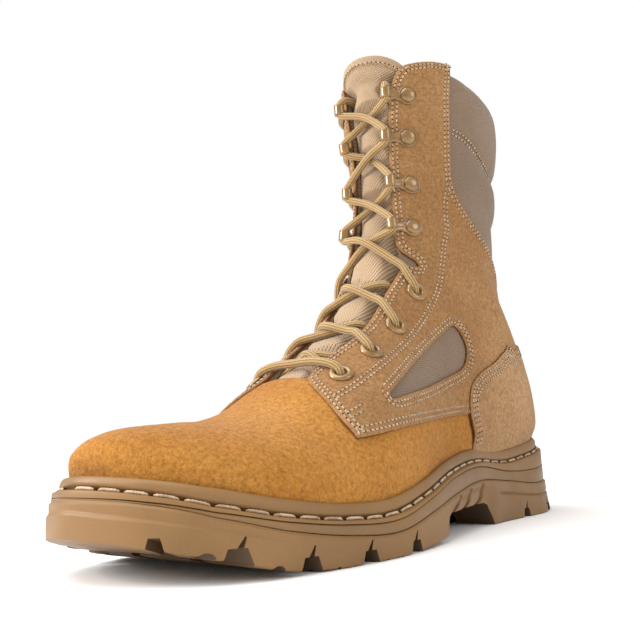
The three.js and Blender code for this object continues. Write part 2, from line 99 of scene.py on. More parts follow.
# %% [markdown]
# ## The last
# A boot is made over a last, a solid foot shape, and every piece of the upper follows it. Here the last
# is a function of two parameters. `s` counts sections from the toe to the collar, and `turn` goes once
# round a section: 0 is the ridge over the instep, a quarter the outer side, a half the base or the back
# of the heel. The same table as the CAD solids use gives each section, so all the pieces fit the frame.

# %% Sections of the last
LAST = np.array([
    # topY, topZ, baseY, baseZ, lateral, medial, ridge, keel, widest, crown, box
    (-150, 41, -150, 41, -12, -12, -12, -12, 0.5, 2, 2),
    (-148.5, 47, -149.5, 28, 3, -26, -12, -12, 0.45, 2, 2.6),
    (-143, 50.5, -145, 20, 15.5, -34.5, -12, -12, 0.42, 2, 3.2),
    (-133, 53, -133, 14, 27.5, -43, -10.5, -10, 0.42, 2, 3.6),
    (-117, 54, -117, 8, 37.3, -48.6, -8, -7, 0.42, 2, 4),
    (-97, 55.5, -97, 4, 44.7, -51.2, -6, -3, 0.42, 2, 4),
    (-77, 61, -75, 2, 48.8, -51, -4, 0, 0.4, 2, 4),
    (-56, 72.5, -50, 2, 50.7, -47.2, -3, 1, 0.36, 2.2, 4),
    (-35, 87.5, -24, 6, 49, -40.5, -2, 2, 0.34, 2.2, 4),
    (-13, 106, 6, 12, 43.3, -33.5, -1, 2, 0.33, 2, 3.6),
    (4, 128, 42, 14, 38.7, -31.5, 0, 1, 0.33, 2, 3.4),
    (13, 150, 86, 16, 38, -34.5, 0, 0, 0.36, 1.9, 3.2),
    (17, 169, 130, 20, 38.5, -36.5, 0, -1, 0.4, 1.85, 3.2),
    (18, 187, 151.5, 42, 36.5, -35, 0, -1, 0.45, 1.8, 2.7),
    (18, 203, 140, 76, 33, -32.5, 0, -1, 0.48, 1.8, 2.1),
    (18, 217, 129, 108, 33.5, -33, 0, 0, 0.5, 1.8, 2),
    (17.5, 230, 126.5, 142, 36, -35, 0, 0, 0.5, 1.8, 2),
    (17.5, 240, 128, 176, 37.5, -36.5, 0, 0, 0.5, 1.8, 2),
    (17, 248, 134, 208, 38, -37, 0, 0, 0.5, 1.8, 2),
    (17, 256, 139, 238, 38.5, -37.5, 0, 0, 0.5, 1.8, 2),
    (16, 270, 138, 268, 38.5, -37.5, 0, 0, 0.5, 1.8, 2),
])
# Before the toe's tip the second section repeats, turned over, so that the toe closes as a dome.
before_toe = LAST[1, [0, 3, 2, 1, 5, 4, 6, 7, 8, 9, 10]]
LAST_PADDED = np.vstack([before_toe, LAST, LAST[-1], LAST[-1]])
TOP_ROW = len(LAST) - 1


def through(before, start, end, after, t):
    """The smooth cubic from start to end. Its slope at each is half the step between its neighbours."""
    leave, reach = (end - before) / 2, (after - start) / 2
    return (
        ((2 * (start - end) + leave + reach) * t + 3 * (end - start) - 2 * leave - reach) * t + leave
    ) * t + start


def last_point(s, turn):
    """A point of the last. The share of the way from base to top is the widest place plus or minus its reach
    times a power of |cos|, and the distance from the middle is the half width times a power of |sin|."""
    s, turn = np.broadcast_arrays(np.asarray(s, float), np.asarray(turn, float))
    i = np.clip(np.floor(s).astype(int), 0, TOP_ROW - 1)
    rows = through(*(LAST_PADDED[i + k] for k in range(4)), (s - i)[..., None])
    top_y, top_z, base_y, base_z, lateral, medial, ridge, keel, widest, crown, box = np.moveaxis(rows, -1, 0)
    across, along = np.sin(2 * np.pi * turn), np.cos(2 * np.pi * turn)
    power = 2 / np.where(along > 0, crown, box)
    share = widest + np.sign(along) * np.where(along > 0, 1 - widest, widest) * np.abs(along) ** power
    middle = keel + (ridge - keel) * share
    half = np.where(across > 0, lateral, medial) - (keel + (ridge - keel) * widest)
    return np.stack([
        middle + half * np.abs(across) ** power,
        base_y + (top_y - base_y) * share,
        base_z + (top_z - base_z) * share,
    ], -1)


def unit(v):
    """Each vector divided by its length."""
    return v / np.maximum(np.linalg.norm(v, axis=-1, keepdims=True), 1e-9)


def last_normal(s, turn):
    """The outward direction: the cross product of the steps round the section and along the boot."""
    s, turn = np.broadcast_arrays(np.asarray(s, float), np.asarray(turn, float))
    row_step, turn_step = 0.02, 0.004
    safe = np.maximum(s, row_step)
    along = last_point(safe + row_step, turn) - last_point(safe - row_step, turn)
    round_ = last_point(safe, turn + turn_step) - last_point(safe, turn - turn_step)
    out = unit(np.cross(round_, along))
    return np.where((s < row_step)[..., None], np.array([0.0, -1.0, 0.0]), out)


def on_last(s, turn, out=0.0):
    """A place on the last, moved `out` along the outward direction."""
    return last_point(s, turn) + last_normal(s, turn) * np.asarray(out, float)[..., None]


def half_turn(turn):
    """The turn measured from the ridge either way, so that both sides of the boot share one table."""
    turn = np.mod(turn, 1)
    return np.minimum(turn, 1 - turn)


def smooth(x, low, high):
    """0 below low, 1 above high, and an S-shaped cubic between."""
    t = np.clip((np.asarray(x, float) - low) / (high - low), 0, 1)
    return t * t * (3 - 2 * t)


print("toe", on_last(0, 0).round(1), "outer side of the collar", on_last(19, 0.25).round(1))

# %% [markdown]
# ## Meshes from arrays
# Every shape below ends as an array of points and one or more arrays of faces. `make_piece` writes them
# into a mesh in one go, which is much faster than adding vertices one at a time. A sheet of material
# gets its wall from `walled`: the same faces again, turned over, on the points of the inner surface,
# and a strip along each edge that only one face uses.


# %% Mesh helpers
SAME_PLACE, NO_LENGTH = 1e-6, 1e-7  # metres


def grid_faces(rows, columns, close_rows=False, close_columns=False):
    """The four-sided faces of a grid of points. Closing joins the last row or column to the first."""
    i, j = np.meshgrid(
        np.arange(rows if close_rows else rows - 1),
        np.arange(columns if close_columns else columns - 1),
        indexing="ij",
    )
    i_next, j_next = (i + 1) % rows, (j + 1) % columns
    corners = [i * columns + j, i * columns + j_next, i_next * columns + j_next, i_next * columns + j]
    return np.stack(corners, -1).reshape(-1, 4)


def walled(faces, count):
    """Outer faces, inner faces on the points after `count`, and the strip that joins the two along every
    edge that is used once."""
    edges = np.concatenate([faces[:, [k, (k + 1) % faces.shape[1]]] for k in range(faces.shape[1])])
    edges = edges[edges[:, 0] != edges[:, 1]]
    key = edges.min(1) * count + edges.max(1)
    _, first, uses = np.unique(key, return_index=True, return_counts=True)
    rim = edges[first[uses == 1]]
    strip = np.stack([rim[:, 1], rim[:, 0], rim[:, 0] + count, rim[:, 1] + count], -1)
    return [faces, faces[:, ::-1] + count, strip]


def cleaned(mesh, merge, triangles=False):
    """Merges points closer than `merge` metres, removes faces without area and turns the rest outwards."""
    edit = bmesh.new()
    edit.from_mesh(mesh)
    bmesh.ops.remove_doubles(edit, verts=edit.verts, dist=merge)
    bmesh.ops.dissolve_degenerate(edit, edges=edit.edges, dist=NO_LENGTH)
    bmesh.ops.recalc_face_normals(edit, faces=edit.faces)
    if triangles:
        bmesh.ops.triangulate(edit, faces=edit.faces)
    edit.to_mesh(mesh)
    edit.free()


def make_piece(name, points, face_sets, materials, slots=None, uv=None, sharp=None):
    """A piece from points in millimetres. face_sets is a list of face arrays, slots the material number
    of each, and uv an array with one pair per point. Doubled points are merged and faces turned outwards."""
    mesh = bpy.data.meshes.new(name)
    faces = [f for f in face_sets if len(f)]
    numbers = slots if slots is not None else [0] * len(face_sets)
    numbers = [n for n, f in zip(numbers, face_sets) if len(f)]
    loops = np.concatenate([f.ravel() for f in faces])
    totals = np.concatenate([np.full(len(f), f.shape[1]) for f in faces])
    mesh.vertices.add(len(points))
    mesh.vertices.foreach_set("co", (np.asarray(points, float) * MM).ravel())
    mesh.loops.add(len(loops))
    mesh.loops.foreach_set("vertex_index", loops.astype(np.int32))
    mesh.polygons.add(len(totals))
    mesh.polygons.foreach_set("loop_start", (np.cumsum(totals) - totals).astype(np.int32))
    mesh.polygons.foreach_set("loop_total", totals.astype(np.int32))
    mesh.update(calc_edges=True)
    index = np.concatenate([np.full(len(f), n) for f, n in zip(faces, numbers)])
    mesh.polygons.foreach_set("material_index", index.astype(np.int32))
    if uv is not None:
        layer = mesh.uv_layers.new(name="UVMap")
        layer.data.foreach_set("uv", np.asarray(uv, float)[loops].ravel())
    mesh.polygons.foreach_set("use_smooth", np.ones(len(totals), bool))
    cleaned(mesh, SAME_PLACE)
    if sharp:
        mesh.set_sharp_from_angle(angle=math.radians(sharp))
    for material in materials:
        mesh.materials.append(material)
    piece = bpy.data.objects.new(name, mesh)
    scene.collection.objects.link(piece)
    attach(piece, "root")
    return piece


print("a grid of 3 x 4 points has", len(grid_faces(3, 4)), "faces")

# %% [markdown]
# ## Building finishes
# Each finish is a Principled shader with a few nodes in front of it. Patterns read Object coordinates,
# which are metres on the boot, or the piece's own UV map, which is millimetres along and across the
# cloth. A noise texture with a scale of 1000 then has grains about a millimetre wide.


# %% Material helpers
def srgb(red, green, blue):
    """A colour given as 0 to 255 on a screen, as the linear light that shaders use."""
    c = np.array((red, green, blue)) / 255
    return (*np.where(c <= 0.04045, c / 12.92, ((c + 0.055) / 1.055) ** 2.4), 1.0)


class Finish:
    """A material under construction: `add` makes a node, and `link` joins an output to an input."""

    def __init__(self, name, roughness, **sockets):
        self.material = bpy.data.materials.new(name)
        self.material.use_nodes = True
        self.tree = self.material.node_tree
        self.shader = self.tree.nodes["Principled BSDF"]
        for socket, value in {"Roughness": roughness, **sockets}.items():
            self.shader.inputs[socket.replace("_", " ")].default_value = value
        coordinates = self.add("ShaderNodeTexCoord")
        self.place, self.uv = coordinates.outputs["Object"], coordinates.outputs["UV"]

    def add(self, kind, inputs=None, **attributes):
        made = self.tree.nodes.new(kind)
        for name, value in attributes.items():
            setattr(made, name, value)
        for name, value in (inputs or {}).items():
            if isinstance(value, bpy.types.NodeSocket):
                self.tree.links.new(value, made.inputs[name])
            else:
                made.inputs[name].default_value = value
        return made

    def noise(self, scale, detail=2.0, roughness=0.5):
        inputs = {"Vector": self.place, "Scale": scale, "Detail": detail, "Roughness": roughness}
        return self.add("ShaderNodeTexNoise", inputs).outputs["Fac"]

    def ramp(self, value, *stops):
        made = self.add("ShaderNodeValToRGB", {"Fac": value})
        made.color_ramp.elements[0].position, made.color_ramp.elements[0].color = stops[0]
        made.color_ramp.elements[1].position, made.color_ramp.elements[1].color = stops[-1]
        for position, color in stops[1:-1]:
            made.color_ramp.elements.new(position).color = color
        return made.outputs["Color"]

    def mix(self, factor, first, second, blend="MIX"):
        return self.add(
            "ShaderNodeMix", {0: factor, 6: first, 7: second}, data_type="RGBA", blend_type=blend
        ).outputs[2]

    def math(self, operation, *values):
        return self.add("ShaderNodeMath", dict(enumerate(values)), operation=operation).outputs[0]

    def finish(self, color, height=None, distance=0.0003, strength=0.6):
        if isinstance(color, tuple):
            self.shader.inputs["Base Color"].default_value = color
        else:
            self.tree.links.new(color, self.shader.inputs["Base Color"])
        if height is not None:
            bump = self.add("ShaderNodeBump", {"Height": height, "Distance": distance, "Strength": strength})
            self.tree.links.new(bump.outputs["Normal"], self.shader.inputs["Normal"])
        return self.material


def grey(value):
    """A colour with no hue, to darken or lighten another by multiplying."""
    return (value, value, value, 1.0)


print("tan on screen is linear", [round(v, 2) for v in srgb(200, 145, 75)])

# %% [markdown]
# ## The lace
# One round braided lace, about 4 mm thick, goes through everything: down through both lowest eyelets
# with a bar between them, up in crossings that leave each eyelet over the edge of its flap and pass
# under the other flap, and through the curls of four pairs of speed hooks. It could be a curve object
# with a bevel, but a tube of our own has a UV map, so the braid runs along it. The route is a list of
# places on the last, smoothed into one line. Its two ends are tucked behind the flaps at the top hooks.

# %% Where the lace is held
EYELETS = ((7.41, 0.081), (8.34, 0.095), (9.35, 0.107), (10.5, 0.114))
HOOKS = ((12.05, 0.087), (13.46, 0.093), (15.17, 0.102), (16.86, 0.102))
THROAT_ROWS = (6.85, 6.98, 7.5, 8, 8.7, 9.4, 10, 10.6, 10.9, 11.3, 12.1, 12.8, 13.9, 15, 16.4, 17.2, 18.6, 20)
THROAT_TURNS = (
    0.004, 0.034, 0.038, 0.048, 0.060, 0.066, 0.071, 0.080, 0.078, 0.062,
    0.052, 0.053, 0.060, 0.065, 0.067, 0.072, 0.088, 0.1,
)
SIDES = ((1, "outer"), (-1, "inner"))
LACE_RADIUS = 2.0
FLAP_TOP = 1.9  # the outer face of the suede flaps, outside the last
CURL_REACH, CURL_RADIUS, HOOK_METAL = 13.0, 3.0, 1.0
HOOK_LIFT = 0.1  # the gap between a hook and the flap under it
FINE = 0.25  # the step of a line while it is being smoothed


def throat(s):
    """Half the width of the opening between the flaps, as a turn."""
    return np.interp(s, THROAT_ROWS, THROAT_TURNS)


def seat(row, turn, side):
    """Where a metal part is set: its place on the last, and the directions towards the throat, up the boot
    and outwards. The throat's direction is level: the cross product of outwards and straight up or down."""
    share = turn if side > 0 else 1 - turn
    outward = last_normal(row, share)
    toward = unit(np.cross(outward, (0, 0, side)))
    return last_point(row, share), toward, np.cross(outward, toward) * -side, outward


def travelled(points):
    """The distance along a line up to each of its points."""
    return np.concatenate([[0], np.cumsum(np.linalg.norm(np.diff(points, axis=0), axis=1))])


def smoothed(points, steps):
    """A smooth curve through places: one cubic from each place to the next, with `steps` points in each."""
    ends = np.vstack([2 * points[0] - points[1], points, 2 * points[-1] - points[-2]])
    t = np.linspace(0, 1, steps, endpoint=False)[:, None]
    cubics = [through(*ends[i:i + 4], t) for i in range(len(points) - 1)]
    return np.vstack([*cubics, points[-1:]])


def smooth_line(points, step, rounding):
    """An even line through places. A Catmull-Rom cubic joins them, and a moving average over `rounding`
    millimetres softens its turns."""
    line = even_line(smoothed(np.asarray(points, float), 40), FINE)
    reach = int(rounding / FINE / 2)
    weights = np.hanning(2 * reach + 3)[1:-1]
    padded = np.vstack([np.repeat(line[:1], reach, 0), line, np.repeat(line[-1:], reach, 0)])
    line = np.stack([np.convolve(padded[:, k], weights / weights.sum(), "valid") for k in range(3)], -1)
    return even_line(line, step)


def even_line(points, step):
    """The same line with points an even step apart along it."""
    along = travelled(points)
    count = max(2, int(round(along[-1] / step)) + 1)
    at = np.linspace(0, along[-1], count)
    return np.stack([np.interp(at, along, points[:, k]) for k in range(points.shape[1])], -1)


# %% The lace's route
OVER, UNDER = 3.5, -0.6  # the lace's middle above the last, where two strands cross over the tongue
HOOKED_OVER, HOOKED_UNDER = -0.6, -4.8
EYELET_SHARE = 0.28  # where strands from eyelets cross, as a share of the way up to the next row
HOOKED_DROP = 0.6  # how many rows below halfway strands between hooks cross
SWAPPED = 5  # the holder from which the strands change which of them lies on top


def crossing(lower, upper, side, over, from_eyelet, to_eyelet):
    """Places of one strand from a holder on `side` to the next one on the other side. It leaves over the
    flap's edge, crosses the ridge, and goes under the other flap if an eyelet is next."""
    (row, turn), (next_row, next_turn) = lower, upper
    middle = row + EYELET_SHARE * (next_row - row) if from_eyelet else (row + next_row) / 2 - HOOKED_DROP
    high, low = (OVER, UNDER) if from_eyelet else (HOOKED_OVER, HOOKED_UNDER)
    lift = high if over else low
    places = [(middle, 0.0, lift)]
    if from_eyelet:
        places = [
            (row, turn, 0.6), (row + 0.02, turn - 0.006, 3.2), (row + 0.08, turn - 0.022, 4.1),
            (row + 0.17, throat(row + 0.17) + 0.003, 3.9),
            (row + 0.2, throat(row + 0.2) - 0.013, 1.9 + 0.4 * over), *places,
        ]
    signed = [(s, t * side, out) for s, t, out in places]
    if to_eyelet:
        edge = throat(next_row - 0.36)
        signed += [
            (next_row - 0.46, -(edge - 0.014) * side, 0.0),
            (next_row - 0.33, -(edge + 0.01) * side, -4.9),
            (next_row - 0.08, -(next_turn - 0.012) * side, -5.6),
            (next_row, -next_turn * side, -3.4),
        ]
    return [on_last(s, np.mod(t, 1), out) for s, t, out in signed]


def through_curl(holder, side):
    """Places of the lace inside a hook's curl, from below to above."""
    origin, toward, upward, outward = seat(*holder, side)
    middle = origin + toward * CURL_REACH + outward * (FLAP_TOP + HOOK_LIFT + CURL_RADIUS)
    return [middle - upward * 3.2, middle, middle + upward * 3.2]


def tucked_end(side):
    """The lace's end, which turns over the top of a hook's curl and goes down behind the flap."""
    origin, toward, upward, outward = seat(*HOOKS[-1], side)
    moves = ((13.1, 4.6, 3.8), (12.2, 6.4, 1.2), (9.2, 6.6, -3.0), (5, 5.4, -5.2), (2, 2, -5.4))
    return [origin + toward * a + upward * b + outward * c for a, b, c in moves]


def half_route(side):
    """Half the lace, from its end under the lowest eyelet on `side` to its tucked end at the top hooks."""
    (row, turn), (next_row, next_turn) = EYELETS[:2]
    signed = [
        (row, turn, -3.4), (row + 0.06, turn - 0.014, -5.4), (row + 0.28, throat(row + 0.3) - 0.008, -3.4),
        ((row + next_row) / 2 + 0.05, 0.0, 0.4 if side > 0 else -0.6),
        (next_row - 0.3, -throat(next_row - 0.3) + 0.008, -3.4),
        (next_row - 0.05, -next_turn + 0.014, -5.6), (next_row, -next_turn, -3.4),
    ]
    route = [on_last(s, np.mod(t * side, 1), out) for s, t, out in signed]
    holders = EYELETS + HOOKS
    eyelets = len(EYELETS)
    here = -side
    for k in range(1, len(holders) - 1):
        over = (here > 0) != (k == SWAPPED)
        route += crossing(holders[k], holders[k + 1], here, over, k < eyelets, k + 1 < eyelets)
        here = -here
        if k + 1 >= eyelets:
            route += through_curl(holders[k + 1], here)
    return route + tucked_end(here)


def half_bar(side):
    """Half the bar between the lowest eyelets, from the one on `side` to the ridge."""
    row, turn = EYELETS[0]
    places = ((turn, 0.6), (turn - 0.006, 3.2), (turn - 0.024, 4.3), (0.03, 3.7), (0, 2.9))
    return [on_last(row + 0.05 * (t < turn), np.mod(t * side, 1), out) for t, out in places]


route = half_route(1)[::-1] + half_bar(1) + half_bar(-1)[::-1][1:] + half_route(-1)
lace_line = smooth_line(route, 1.0, 6.5)


# %% The lace's tube
def tube(line, radius, sides):
    """A round tube along a line, closed at both ends. Each ring is the line's point plus the radius times
    (cos a, sin a) in a frame that is carried along and never twists."""
    tangents = unit(np.gradient(line, axis=0))
    frame_side = np.zeros_like(line)
    side = unit(np.cross(tangents[0], (0.3, 0.5, 0.8)))
    for k, tangent in enumerate(tangents):
        side = unit(side - tangent * (side @ tangent))
        frame_side[k] = side
    frame_up = np.cross(tangents, frame_side)
    angle = np.linspace(0, 2 * np.pi, sides + 1)
    ring = frame_side[:, None] * np.cos(angle)[:, None] + frame_up[:, None] * np.sin(angle)[:, None]
    points = line[:, None] + ring * radius
    uv = np.stack(np.broadcast_arrays(travelled(line)[:, None], angle / (2 * np.pi)), -1)
    first, last = (np.broadcast_to(p, (1, sides + 1, 3)) for p in (line[0], line[-1]))
    points = np.concatenate([first, points, last])
    uv = np.concatenate([uv[:1], uv, uv[-1:]])
    return points.reshape(-1, 3), grid_faces(len(points), sides + 1), uv.reshape(-1, 2)


def lace_finish():
    """The lace's braid: two sets of threads that run round it in opposite directions, as ridges of the UV
    map's first number (millimetres along) and second (turns round), over ribs that run lengthwise."""
    f = Finish("lace_braid", 0.7, Sheen_Weight=0.35, Sheen_Roughness=0.4, Specular_IOR_Level=0.35)
    split = f.add("ShaderNodeSeparateXYZ", {0: f.uv})
    along, round_ = split.outputs[0], split.outputs[1]
    strands = f.math("MULTIPLY", round_, 8.0)
    pitch = f.math("DIVIDE", along, 4.2)
    ridges = []
    for direction in ("ADD", "SUBTRACT"):
        wave = f.math("SINE", f.math("MULTIPLY", f.math(direction, strands, pitch), 2 * math.pi))
        ridges.append(f.math("ABSOLUTE", wave))
    height = f.math("MAXIMUM", *ridges)
    lengthwise = f.math("ABSOLUTE", f.math("SINE", f.math("MULTIPLY", round_, 9 * math.pi)))
    height = f.math("ADD", f.math("MULTIPLY", height, 0.6), f.math("MULTIPLY", lengthwise, 0.6))
    # The colour follows the braid's height: darker in the low places between the threads, as painted shade.
    color = f.ramp(height, (0.4, srgb(92, 66, 34)), (0.8, srgb(150, 118, 70)), (1.2, srgb(182, 149, 97)))
    fibre = f.ramp(f.noise(2200, 2), (0.3, grey(0.75)), (0.7, grey(1.0)))
    return f.finish(f.mix(0.6, color, fibre, "MULTIPLY"), height, 0.00035, 0.8)


lace_material = lace_finish()
points, faces, uv = tube(lace_line, LACE_RADIUS, 14)
lace = make_piece("lace", points, [faces], [lace_material], uv=uv)
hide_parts("lace_bar", "lace_crossing_1", "lace_crossing_2", "lace_crossing_3", "lace_hooked")
print("lace faces", len(faces))

# %% [markdown]
# ## Eyelets
# An eyelet is a thin brass tube whose top is rolled outwards over the leather, painted tan. Its section
# is one closed curve, turned once round the hole: angle round the hole is one parameter, and place
# along the section the other.


# %% Eyelets
def metal_finish():
    """Tan paint on pressed brass: a smooth glossy coat over a slightly uneven colour."""
    gloss = {"Metallic": 0.25, "Coat_Weight": 0.8, "Coat_Roughness": 0.08, "Specular_IOR_Level": 0.6}
    f = Finish("painted_brass", 0.3, **gloss)
    tone = f.ramp(f.noise(160, 3), (0.35, srgb(122, 88, 38)), (0.7, srgb(148, 111, 54)))
    worn = f.ramp(f.noise(900, 2), (0.3, grey(0.88)), (0.65, grey(1.0)))
    return f.finish(f.mix(0.7, tone, worn, "MULTIPLY"), f.noise(700, 2), 0.0001, 0.15)


metal = metal_finish()
EYELET_SECTION = np.array([
    # distance from the middle, height above the flap
    (2.55, -4.0), (2.5, -1.0), (2.55, 0.5), (2.85, 1.15), (3.45, 1.5), (4.2, 1.55), (4.95, 1.3), (5.45, 0.8),
    (5.65, 0.2), (5.5, -0.1), (4.4, -0.1), (3.3, -0.15), (3.1, -1.0), (3.1, -4.0),
])


def turned(section, place, sides):
    """A closed section turned round the outward axis of a seat: the point at angle a is the middle plus the
    section's distance times (cos a, sin a) and its height along the axis."""
    origin, toward, upward, outward = place
    angle = np.linspace(0, 2 * np.pi, sides, endpoint=False)[:, None]
    distance, height = section[:, 0], section[:, 1] + FLAP_TOP
    ring = toward * np.cos(angle)[..., None] + upward * np.sin(angle)[..., None]
    points = origin + ring * distance[:, None] + outward * height[:, None]
    return points.reshape(-1, 3), grid_faces(sides, len(section), close_rows=True, close_columns=True)


for side, label in SIDES:
    for k, (row, turn) in enumerate(EYELETS, 1):
        points, faces = turned(EYELET_SECTION, seat(row, turn, side), 40)
        eyelet = make_piece(f"eyelet_ring_{label}_{k}", points, [faces], [metal])
        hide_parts(f"eyelet_{label}_{k}")
print("eyelet faces", len(faces))

# %% [markdown]
# ## Speed hooks
# Each hook is one strip of pressed metal: a round foot, a neck with a pressed ridge that stiffens it,
# and a curl that holds the lace. The strip is a section along a path: straight over the flap, then round
# the curl. Its half width at each place comes from the foot's circle and the neck, and its section is a
# flat loop with rounded edges. A domed rivet with a thin collar is turned over the foot.

# %% Speed hooks
FOOT_RADIUS, NECK_HALF, CURL_HALF = 5.3, 2.4, 3.1
CURL_SWEEP = math.radians(265)
CURL_MIDDLE = CURL_RADIUS - HOOK_METAL / 2  # the curl's radius at the middle of the metal
SLOT_MIDDLE, SLOT_HALF, SLOT_GAP = 7.4, 1.7, 1.1  # from the rivet, along the neck
RIDGE_HEIGHT, RIDGE_WIDTH, RIDGE_END = 0.28, 0.35, 9.6
HOOK_SHARP = 50  # degrees between faces, from which an edge stays sharp
TURNED_SIDES = 36
RIVET_SECTION = np.array([
    (0.0, 2.9), (1.0, 2.87), (2.0, 2.76), (2.9, 2.52), (3.6, 2.15),
    (4.05, 1.65), (4.2, 1.3), (4.15, 1.0), (0.0, 1.0),
])
COLLAR_SECTION = np.array([
    (4.45, 1.0), (4.55, 1.25), (4.75, 1.35), (4.95, 1.25), (5.05, 1.0),
])


def hook_strip(place):
    """The strip's points: at a distance `along` from the foot's far edge and a share `across` of its width.
    A ridge pressed round a short slot raises the top face, by a bell curve of the distance from the slot."""
    origin, toward, upward, outward = place
    reach = CURL_REACH + FOOT_RADIUS
    foot = FOOT_RADIUS * (1 - np.cos(np.linspace(0.12, 1, 14) * np.pi / 2))
    along = np.concatenate([
        foot, np.linspace(FOOT_RADIUS, reach, 34)[1:],
        reach + np.linspace(0, CURL_SWEEP * CURL_MIDDLE, 30)[1:],
    ])
    x = along - FOOT_RADIUS
    circle = np.sqrt(np.maximum(FOOT_RADIUS**2 - x**2, 0))
    neck = NECK_HALF + 0.9 * (1 - smooth(x, 4.0, 8.0)) + (CURL_HALF - NECK_HALF) * smooth(x, 7.5, 10.5)
    half = np.where(x < 0, circle, np.maximum(np.where(x < FOOT_RADIUS, circle, 0), neck))
    half = half * (1 - 0.1 * smooth(along, along[-1] - 2.5, along[-1]))
    # The section: ten places across the top, then back across the bottom, with the edges rounded.
    across = np.array([-1, -0.93, -0.6, -0.3, -0.12, 0.12, 0.3, 0.6, 0.93, 1])
    section_y = np.concatenate([across, across[::-1]])
    rise = np.array([0.32, 0.47, 0.5, 0.5, 0.5, 0.5, 0.5, 0.5, 0.47, 0.32]) * HOOK_METAL
    section_z = np.concatenate([rise, -rise])
    y = half[:, None] * section_y
    slot_distance = np.hypot(np.maximum(np.abs(x[:, None] - SLOT_MIDDLE) - SLOT_HALF, 0), y)
    ridge = RIDGE_HEIGHT * np.exp(-(((slot_distance - SLOT_GAP) / RIDGE_WIDTH) ** 2))
    z = section_z + ridge * (section_z > 0) * (x[:, None] < RIDGE_END)
    bend = np.clip(x - CURL_REACH, 0, None) / CURL_MIDDLE
    radius = CURL_MIDDLE - z
    curl_x = np.minimum(x, CURL_REACH)[:, None] + radius * np.sin(bend)[:, None]
    curl_z = FLAP_TOP + HOOK_LIFT + CURL_RADIUS - radius * np.cos(bend)[:, None]
    flat = (x <= CURL_REACH)[:, None]
    px = np.where(flat, x[:, None], curl_x)
    pz = np.where(flat, FLAP_TOP + HOOK_LIFT + HOOK_METAL / 2 + z, curl_z)
    points = origin + px[..., None] * toward + y[..., None] * upward + pz[..., None] * outward
    count = len(section_y)
    tip = np.repeat(points[-1:].mean(1, keepdims=True), count, 1)
    heel = np.repeat(points[:1].mean(1, keepdims=True), count, 1)
    points = np.concatenate([heel, points, tip])
    return points.reshape(-1, 3), grid_faces(len(points), count, close_columns=True)


def joined(parts):
    """Several pairs of points and faces as one pair. The faces of each part are renumbered."""
    offsets = np.cumsum([0] + [len(p) for p, _ in parts[:-1]])
    faces = [f + offset for (_, f), offset in zip(parts, offsets)]
    return np.vstack([p for p, _ in parts]), np.vstack(faces)


for side, label in SIDES:
    for k, (row, turn) in enumerate(HOOKS, 1):
        place = seat(row, turn, side)
        rivet = [turned(section, place, TURNED_SIDES) for section in (RIVET_SECTION, COLLAR_SECTION)]
        points, faces = joined([hook_strip(place), *rivet])
        name = f"speed_hook_{label}_{k}"
        hook = make_piece(name, points, [faces], [metal], sharp=HOOK_SHARP)
        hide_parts(f"hook_{label}_{k}")
print("hook faces", len(faces))

# %% [markdown]
# ## The sole's outline and levels
# Every layer of the sole follows one outline seen from above, and lines along the side that dip at the
# ball of the foot and rise over the arch. The outline is a closed smooth curve through a few places on
# either side. Each level is a smooth curve of the height against the place along the boot.

# %% Outline and levels
OUTLINE = np.array([
    # y, outer x, inner x
    (-158, -12, -12), (-154, 6, -28), (-147, 20, -39.5), (-134, 34, -48.5), (-114, 45, -54.5),
    (-88, 52.5, -57), (-58, 57, -54.5), (-28, 55.5, -46.5), (2, 49.5, -38.5), (32, 44, -36),
    (62, 41.5, -37), (92, 41.5, -39.5), (118, 41, -39), (137, 34.5, -32.5), (150, 21, -20), (158, 0, 0),
])
LEVELS = np.array([
    # y, feather line, under the welt's lip, under the midsole band, tread, the welt's stitches
    (-160, 37.4, 29.9, 29.2, 16.2, 33.6), (-148, 35.4, 27.9, 26.8, 12.8, 30.7),
    (-132, 31.2, 23.4, 21.4, 8, 25.6), (-110, 26, 18.4, 15.2, 2, 20.4),
    (-84, 22, 14.8, 10.8, 0, 16.8), (-56, 21.4, 14, 9.2, 0, 16.2),
    (-26, 26.8, 20.2, 14.2, 1.2, 21.8), (6, 33.6, 26.6, 19, 3.4, 28.5), (42, 38.2, 29.6, 22.6, 0, 32.2),
    (78, 36.6, 25.6, 20.2, 0, 30.4), (110, 39.8, 25.2, 17.2, 0, 33.4), (134, 42.6, 28, 18.4, 0.6, 37),
    (160, 44.6, 30, 20, 3.4, 39.5),
])
FEATHER, LIP, BAND, TREAD, STITCHED = 1, 2, 3, 4, 5


def level(column, y):
    """The height of one of the levels at places along the boot."""
    y = np.asarray(y, float)
    last = len(LEVELS) - 1
    i = np.clip(np.searchsorted(LEVELS[:, 0], y), 1, last)
    t = np.clip((y - LEVELS[i - 1, 0]) / (LEVELS[i, 0] - LEVELS[i - 1, 0]), 0, 1)
    value = LEVELS[:, column]
    rise = through(value[np.maximum(i - 2, 0)], value[i - 1], value[i], value[np.minimum(i + 1, last)], t)
    return np.maximum(rise, 0)


def outline(count):
    """Even points round the outline, from the toe along the outer side, the outward direction at each, and
    the outline's length."""
    knots = np.vstack([OUTLINE[:, [1, 0]], OUTLINE[-2:0:-1][:, [2, 0]]])
    t = np.linspace(0, 1, 60, endpoint=False)[:, None]
    here = [np.roll(knots, shift, 0) for shift in (1, 0, -1, -2)]
    dense = np.vstack([through(*(h[i] for h in here), t) for i in range(len(knots))])
    dense = np.vstack([dense, dense[:1]])
    along = travelled(dense)
    at = np.linspace(0, along[-1], count, endpoint=False)
    points = np.stack([np.interp(at, along, dense[:, k]) for k in (0, 1)], -1)
    step = np.roll(points, -1, 0) - np.roll(points, 1, 0)
    return points, unit(np.stack([step[:, 1], -step[:, 0]], -1)), along[-1]


_, _, outline_length = outline(100)
print(f"the outline is {outline_length:.0f} mm round")

